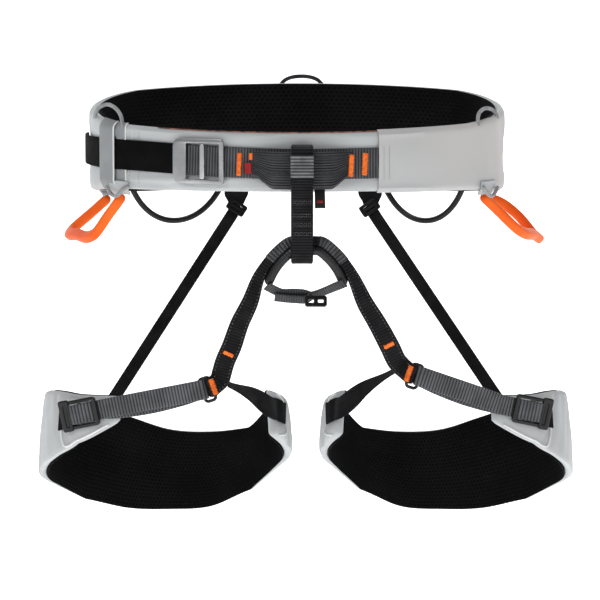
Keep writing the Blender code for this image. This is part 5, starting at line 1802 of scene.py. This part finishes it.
@dataclass
class LegLoop:
    """One padded leg loop with its buckle, its straps and its edges."""

    wardrobe: Wardrobe
    side: str
    edge_radius: float = 3.1 * MM
    lining_thickness: float = 1.1 * MM
    lean: float = 0.222
    flare: float = 0.075
    middle_x: float = 112.0 * MM
    strap_width: float = 15.5 * MM
    strap_thickness: float = 1.4 * MM
    rib_pitch: float = 2.65 * MM
    rib_height: float = 0.34 * MM
    buckle_half: float = 16.5 * MM
    over: float = 2.55 * MM
    ring_half: float = 4.3 * MM
    bight_radius: float = 3.4 * MM
    tab_height: float = 14.0 * MM
    inner_lift: float = 3.2 * MM

    @property
    def buckle_z(self) -> float:
        """The height of the buckle's middle."""
        return {"right": -205.0, "left": -203.0}[self.side] * MM

    @property
    def sign(self) -> float:
        """-1 for the wearer's right leg and 1 for the left."""
        return SIDES[self.side]

    def at(self, angle: Array | float, offset: Array | float, z: Array | float) -> Array:
        """A point outside the loop's shell: the oval, leaning back as it rises and opening downwards."""
        z = np.asarray(z, float)
        x, y = LEG.at(angle, offset - (z + 250.0 * MM) * self.flare)
        y = y - 14.0 * MM + (z + 271.0 * MM) * self.lean
        return np.stack(np.broadcast_arrays(SEAT_X + self.sign * (self.middle_x + x), y, z), -1)

    @staticmethod
    def edge(angle: Array, share: Array | float) -> Array:
        """The height at a share of the pad's height, 0 at its lower edge and 1 at its upper one."""
        flat = np.degrees(np.atleast_1d(angle)).ravel()
        table = through(LEG_STATIONS, flat).reshape(*np.shape(np.atleast_1d(angle)), 2)
        return (table[..., 0] + (np.asarray(share) - 0.5) * table[..., 1]) * MM

    def relief(self, angle: Array, share: Array) -> Array:
        """How far the shell puffs out: a crown, bulges at the inner end and a few creases."""
        degrees = np.degrees(angle)
        crown = 1.0 * MM * (1.0 - np.abs(2.0 * share - 1.0) ** 3)
        inner = ease((degrees - 284.0) / 12.0)
        bulges = 3.2 * MM * (hump(share, 0.9, 0.17) + hump(share, 0.16, 0.2))
        bulges = bulges - 1.0 * MM * hump(share, 0.55, 0.2)
        wave = 0.35 * MM * np.sin(degrees * 0.21 + 5.0 * share)
        wave = wave + 0.2 * MM * np.sin(degrees * 0.57 - 8.0 * share)
        fold = -0.9 * MM * hump(degrees - 22.0 * share, 34.0, 2.2) * (degrees < 60.0)
        return crown + inner * bulges + wave + fold

    def pad(self) -> None:
        """The shell round its foam, and the lining, both rounded off over their last few millimetres."""
        first, last = LEG_STATIONS[0, 0], LEG_STATIONS[-1, 0]
        for name, thickness, inset, short, columns in (
            ("leg_pad", 2.0 * self.edge_radius, 0.0, 0.0, 27),
            ("leg_lining_mesh", self.lining_thickness, 2.0 * self.edge_radius + 0.15 * MM, -0.1 * MM, 5),
        ):
            trim = 1.6 if inset else 0.0
            angle = np.radians(np.linspace(first + trim, last - trim, 300))[:, None]
            low, high = self.edge(angle, 0.0), self.edge(angle, 1.0)
            run = lengths_along(self.at(angle[:, 0], 0.0, ((low + high) / 2.0)[:, 0]))
            end = np.clip(np.minimum(run, run[-1] - run) / (7.0 * MM), 0.0, 1.0)[:, None]
            shape = 0.25 + 0.75 * np.sqrt(1.0 - (1.0 - end) ** 2)
            section = Section.make(columns)
            half = thickness / 2.0 * shape
            squeeze = 1.0 - 0.16 * (1.0 - shape)
            height = (high - low - 2.0 * short) * squeeze
            z = (low + high) / 2.0 + section.across * (height - 2.0 * half) + section.edge * half
            offset = -inset - thickness / 2.0 + section.lift * half
            if not inset:
                share = (z - low) / (high - low)
                offset = offset + np.clip(section.lift, 0.0, 1.0) * self.relief(angle, share) * shape
            rings = self.at(angle, offset, z)
            piece = loft(f"{name}_{self.side}", rings, run, section.round_lengths(60.0 * MM, thickness))
            if inset:
                self.wardrobe.dress(piece, LINING, f"leg_{self.side}", f"leg_lining_{self.side}")
            else:
                nodes = (f"leg_shell_{self.side}", f"leg_foam_{self.side}")
                self.wardrobe.dress(piece, SHELL, f"leg_{self.side}", *nodes)

    def line_on(self, corners: Sequence[tuple[float, float]], lift: float) -> Array:
        """A smooth line on the shell through places given as degrees round and a share of the height."""
        degree, height = 1.4 * MM, 45.0 * MM
        table = smooth_path([(a * degree, s * height, 0.0) for a, s in corners], 0.8 * MM)
        angle, share = np.radians(table[:, 0] / degree), table[:, 1] / height
        return self.at(angle, self.relief(angle, share) + lift, self.edge(angle, share))

    def piping(self) -> None:
        """The pale lines that bound the front panel and the inner end."""
        front = (
            (17.5, 0.86), (30.0, 0.9), (41.0, 0.86), (44.5, 0.66), (44.5, 0.3), (41.0, 0.1), (30.0, 0.07),
            (18.5, 0.12),
        )
        inner = ((305.5, 0.94), (298.0, 0.86), (293.0, 0.66), (292.0, 0.45), (296.0, 0.18), (304.5, 0.06))
        for name, corners, lift, radius in (
            ("front", front, 0.5 * MM, 0.9 * MM),
            ("inner", inner, 0.4 * MM, 0.8 * MM),
        ):
            piece = tube(f"leg_piping_{name}_{self.side}", self.line_on(corners, lift), radius, (0, 0, 1), 8)
            self.wardrobe.dress(piece, PALE_EDGE, f"leg_{self.side}")

    def buckle_frame(self) -> Matrix:
        """The buckle's frame: local X along the strap towards the ring, local Z out of its face."""
        place = self.at(math.radians(28.0), 6.4 * MM, self.buckle_z)
        yaw = math.radians(24.0)
        matrix = frame_of(place, (-self.sign * math.cos(yaw), -math.sin(yaw), 0.24), (0.0, 0.0, 1.0))
        if matrix.col[2].y > 0.0:
            matrix = matrix @ Matrix.Diagonal((1.0, -1.0, -1.0, 1.0))
        return matrix

    def strap(self) -> None:
        """The strap from the buckle's bar out to the ring, round it and back behind the buckle."""
        buckle, ring = self.buckle_frame(), ring_frame(self.side)
        half, over = self.buckle_half, self.over
        stations = (
            (-8.0 * MM, 0.0), (-5.0 * MM, over), (0.5 * MM, over + 0.2 * MM), (half - 7.0 * MM, 0.6 * MM),
            (half - 1.7 * MM, -over), (half + 4.0 * MM, -over),
        )
        starts = [np.array(buckle @ Vector((x, 0.0, z))) for x, z in stations]
        inner_end = np.array(buckle @ Vector((half - 4.0 * MM, 0.0, -5.0 * MM)))
        bar = np.array(ring @ Vector((self.ring_half, 0.0, 0.0)))
        along = unit(bar - starts[-1])
        up = np.array(buckle.col[1].to_3d())
        up = up if up[2] > 0.0 else -up
        out = unit(np.cross(along, up))
        out = out if out[1] < 0.0 else -out
        turn = np.radians(np.linspace(90.0, -90.0, 13))[:, None]
        bight = bar + (along * np.cos(turn) + out * np.sin(turn)) * self.bight_radius
        outer = np.array([*starts, *(starts[-1] + s * (bight[0] - starts[-1]) for s in (0.35, 0.7))])
        sag = np.array([0.0, 0.0, -3.4 * MM])
        back = np.array([0.2, 0.5, 0.8, 1.0])[:, None]
        inner = bight[-1] + back * (inner_end - bight[-1]) + sag * np.sin(math.pi * back)
        path = smooth_path(np.concatenate([outer, bight, inner]), 0.45 * MM)

        def ribs(run: Array, _: Array) -> Array:
            """Ribs on both faces: height * (0.5 - 0.5 cos(2 pi run / pitch))."""
            return self.rib_height * (0.5 - 0.5 * np.cos(TAU * run / self.rib_pitch))

        piece = ribbon(f"leg_web_{self.side}", path, up, self.strap_width, self.strap_thickness, ribs)
        self.wardrobe.dress(piece, LEG_RIBBED, f"leg_{self.side}", f"leg_strap_{self.side}")

    def buckle(self) -> None:
        """The frame with its stepped shoulders, its sliding bar, and the tab that holds it."""
        place = self.buckle_frame()
        body = f"leg_{self.side}"
        rim = block(self.buckle_half, 11.5 * MM, 3 * MM)
        window = rounded(-9.7 * MM, 13.1 * MM, -8.6 * MM, 8.6 * MM, (1 * MM,) * 4, 3)
        piece = plate(f"leg_buckle_{self.side}", [rim, window], 2.5 * MM, 0.7 * MM, place)
        self.wardrobe.dress(piece, DARK_METAL, body, f"leg_buckle_frame_{self.side}")
        step = rounded(-self.buckle_half, -7.2 * MM, -12.6 * MM, 12.6 * MM, (2 * MM,) * 4)
        hole = rounded(-12.6 * MM, -9.7 * MM, -8.6 * MM, 8.6 * MM, (0.8 * MM,) * 4, 3)
        shifted = place @ Matrix.Translation((0.0, 0.0, 0.9 * MM))
        piece = plate(f"leg_buckle_shoulder_{self.side}", [step, hole], 2.2 * MM, 0.6 * MM, shifted)
        self.wardrobe.dress(piece, DARK_METAL, body)
        bar = rounded(0.0, 3.2 * MM, -8.3 * MM, 8.3 * MM, (0.8 * MM,) * 4, 3)
        piece = plate(f"leg_buckle_bar_{self.side}", [bar], 2.2 * MM, 0.7 * MM, place)
        self.wardrobe.dress(piece, DARK_METAL, f"leg_slider_{self.side}", f"leg_buckle_slider_{self.side}")
        angle = np.radians(np.linspace(30.0, 47.0, 22))
        share = np.linspace(0.0, 1.0, len(angle))
        middle = self.buckle_z - 3.0 * MM - 5.0 * MM * share[:, None]
        z = middle + np.linspace(-0.5, 0.5, 12) * self.tab_height
        outer = self.at(angle[:, None], 2.4 * MM, z)[:: int(self.sign)]
        piece = slab(f"leg_tab_web_{self.side}", outer, self.strap_thickness, 26.0 * MM * share)
        self.wardrobe.dress(piece, BLACK_WEB, body, f"leg_buckle_tab_{self.side}")

    def inner_strap(self) -> None:
        """The strap from the bridge's fork to the pad's inner end, turning and widening as it goes."""
        angles = np.radians([306.0, 300.0, 294.0])
        on_pad = self.at(angles, self.inner_lift, self.edge(angles, 0.6))
        z = self.edge(np.radians([308.0]), 0.6)[0]
        before = self.at(math.radians(310.0), self.inner_lift + 1.5 * MM, z)
        x, z = RINGS[self.side]
        fork = seat(self.side, x - 16.0 * MM, RING_Y + 4.0 * MM, z + 2.5 * MM)
        middle = (fork + before) / 2.0 + np.array([0.0, 0.0, 1.5 * MM])
        path = smooth_path([fork, middle, before, *on_pad], 0.8 * MM)
        share = ease(np.linspace(0.0, 20.0 / 13.0, len(path)))[:, None]
        out = 0.5 + (self.flare - 0.5) * share
        lean = 0.3 + (self.lean + self.flare / 2.0 - 0.3) * share
        across = unit(np.concatenate([self.sign * out, lean, np.ones_like(share)], axis=1))
        widths = (6.0 + 12.0 * share[:, 0]) * MM
        piece = ribbon(f"inner_web_{self.side}", path, across, widths, 1.5 * MM, None, 11)
        self.wardrobe.dress(piece, BLACK_WEB, f"leg_{self.side}", f"inner_strap_{self.side}")

    def make(self) -> None:
        """Builds the whole leg loop."""
        self.pad()
        self.piping()
        self.strap()
        self.buckle()
        self.inner_strap()


# Studio

FOCAL_LENGTH = 210.0
SENSOR_WIDTH = 36.0
CAMERA_PLACE = (0.0024, -2.7791, 0.2189)
CAMERA_AIM = (0.0024, 0.0, -0.1223)
LIGHT_SIZE = 1.0
PAPER_GLOW = 0.85
SURROUND = 0.15
WHITE = (1.0, 1.0, 1.0, 1.0)


def make_camera() -> None:
    """A long lens in front of the harness, a little above it."""
    data = bpy.data.cameras.new("camera")
    data.lens = FOCAL_LENGTH
    data.sensor_width = SENSOR_WIDTH
    camera = bpy.data.objects.new("camera", data)
    bpy.context.scene.collection.objects.link(camera)
    camera.location = CAMERA_PLACE
    target = Vector(CAMERA_AIM)
    camera.rotation_euler = (target - camera.location).to_track_quat("-Z", "Y").to_euler()
    bpy.context.scene.camera = camera


def make_light(name: str, place: Sequence[float], power: float) -> None:
    """A square soft light that faces the harness.

    Args:
        name: The light's name.
        place: Where it stands.
        power: Its power in watts.
    """
    data = bpy.data.lights.new(name, "AREA")
    data.shape = "SQUARE"
    data.size = LIGHT_SIZE
    data.energy = power
    light = bpy.data.objects.new(name, data)
    bpy.context.scene.collection.objects.link(light)
    light.location = place
    aim = Vector((0.0, 0.0, -0.1)) - light.location
    light.rotation_euler = aim.to_track_quat("-Z", "Y").to_euler()


def make_studio() -> None:
    """A plain pale floor that turns up into a backdrop, an even white surround and soft lights."""
    floor_z = CAD_BOX[0][2] - 2.0 * MM
    bend = np.linspace(0.0, math.pi / 2.0, 16)
    y = np.concatenate([[-8.0], 3.0 + 1.5 * np.sin(bend), [4.5]])
    z = np.concatenate([[0.0], 1.5 - 1.5 * np.cos(bend), [6.0]]) + floor_z
    points = np.stack([np.stack([np.full_like(y, x), y, z], -1) for x in (-9.0, 9.0)], 1)
    count = len(y)
    faces = [[2 * i, 2 * i + 1, 2 * i + 3, 2 * i + 2] for i in range(count - 1)]
    mesh = bpy.data.meshes.new("studio_floor")
    mesh.from_pydata(points.reshape(-1, 3).tolist(), [], faces)
    mesh.shade_smooth()
    floor = bpy.data.objects.new("studio_floor", mesh)
    bpy.context.scene.collection.objects.link(floor)
    material = bpy.data.materials.new("studio_paper")
    material.use_nodes = True
    shader = material.node_tree.nodes["Principled BSDF"]
    shader.inputs["Base Color"].default_value = (0.95, 0.95, 0.95, 1.0)
    shader.inputs["Roughness"].default_value = 0.9
    shader.inputs["Emission Color"].default_value = WHITE
    shader.inputs["Emission Strength"].default_value = PAPER_GLOW
    mesh.materials.append(material)
    world = bpy.data.worlds.new("studio")
    world.use_nodes = True
    background = world.node_tree.nodes["Background"]
    background.inputs["Color"].default_value = WHITE
    background.inputs["Strength"].default_value = SURROUND
    bpy.context.scene.world = world
    bpy.context.scene.view_settings.view_transform = "Standard"
    make_light("key", (-1.6, -2.2, 1.9), 26.0)
    make_light("fill", (1.9, -2.0, 0.8), 8.0)
    make_light("top", (0.0, 0.6, 2.2), 16.0)


def main() -> None:
    """Builds the harness part by part."""
    logging.basicConfig(level=logging.INFO, format="%(name)s: %(message)s")
    make_camera()
    make_studio()
    wardrobe = Wardrobe()
    WaistBelt(wardrobe).make()
    TieIn(wardrobe).make()
    GearLoops(wardrobe).make()
    Bridge(wardrobe).make()
    risers = Risers(wardrobe)
    for side in SIDES:
        legs = LegLoop(wardrobe, side)
        legs.make()
        risers.make_side(side, legs)


if __name__ == "__main__":
    main()
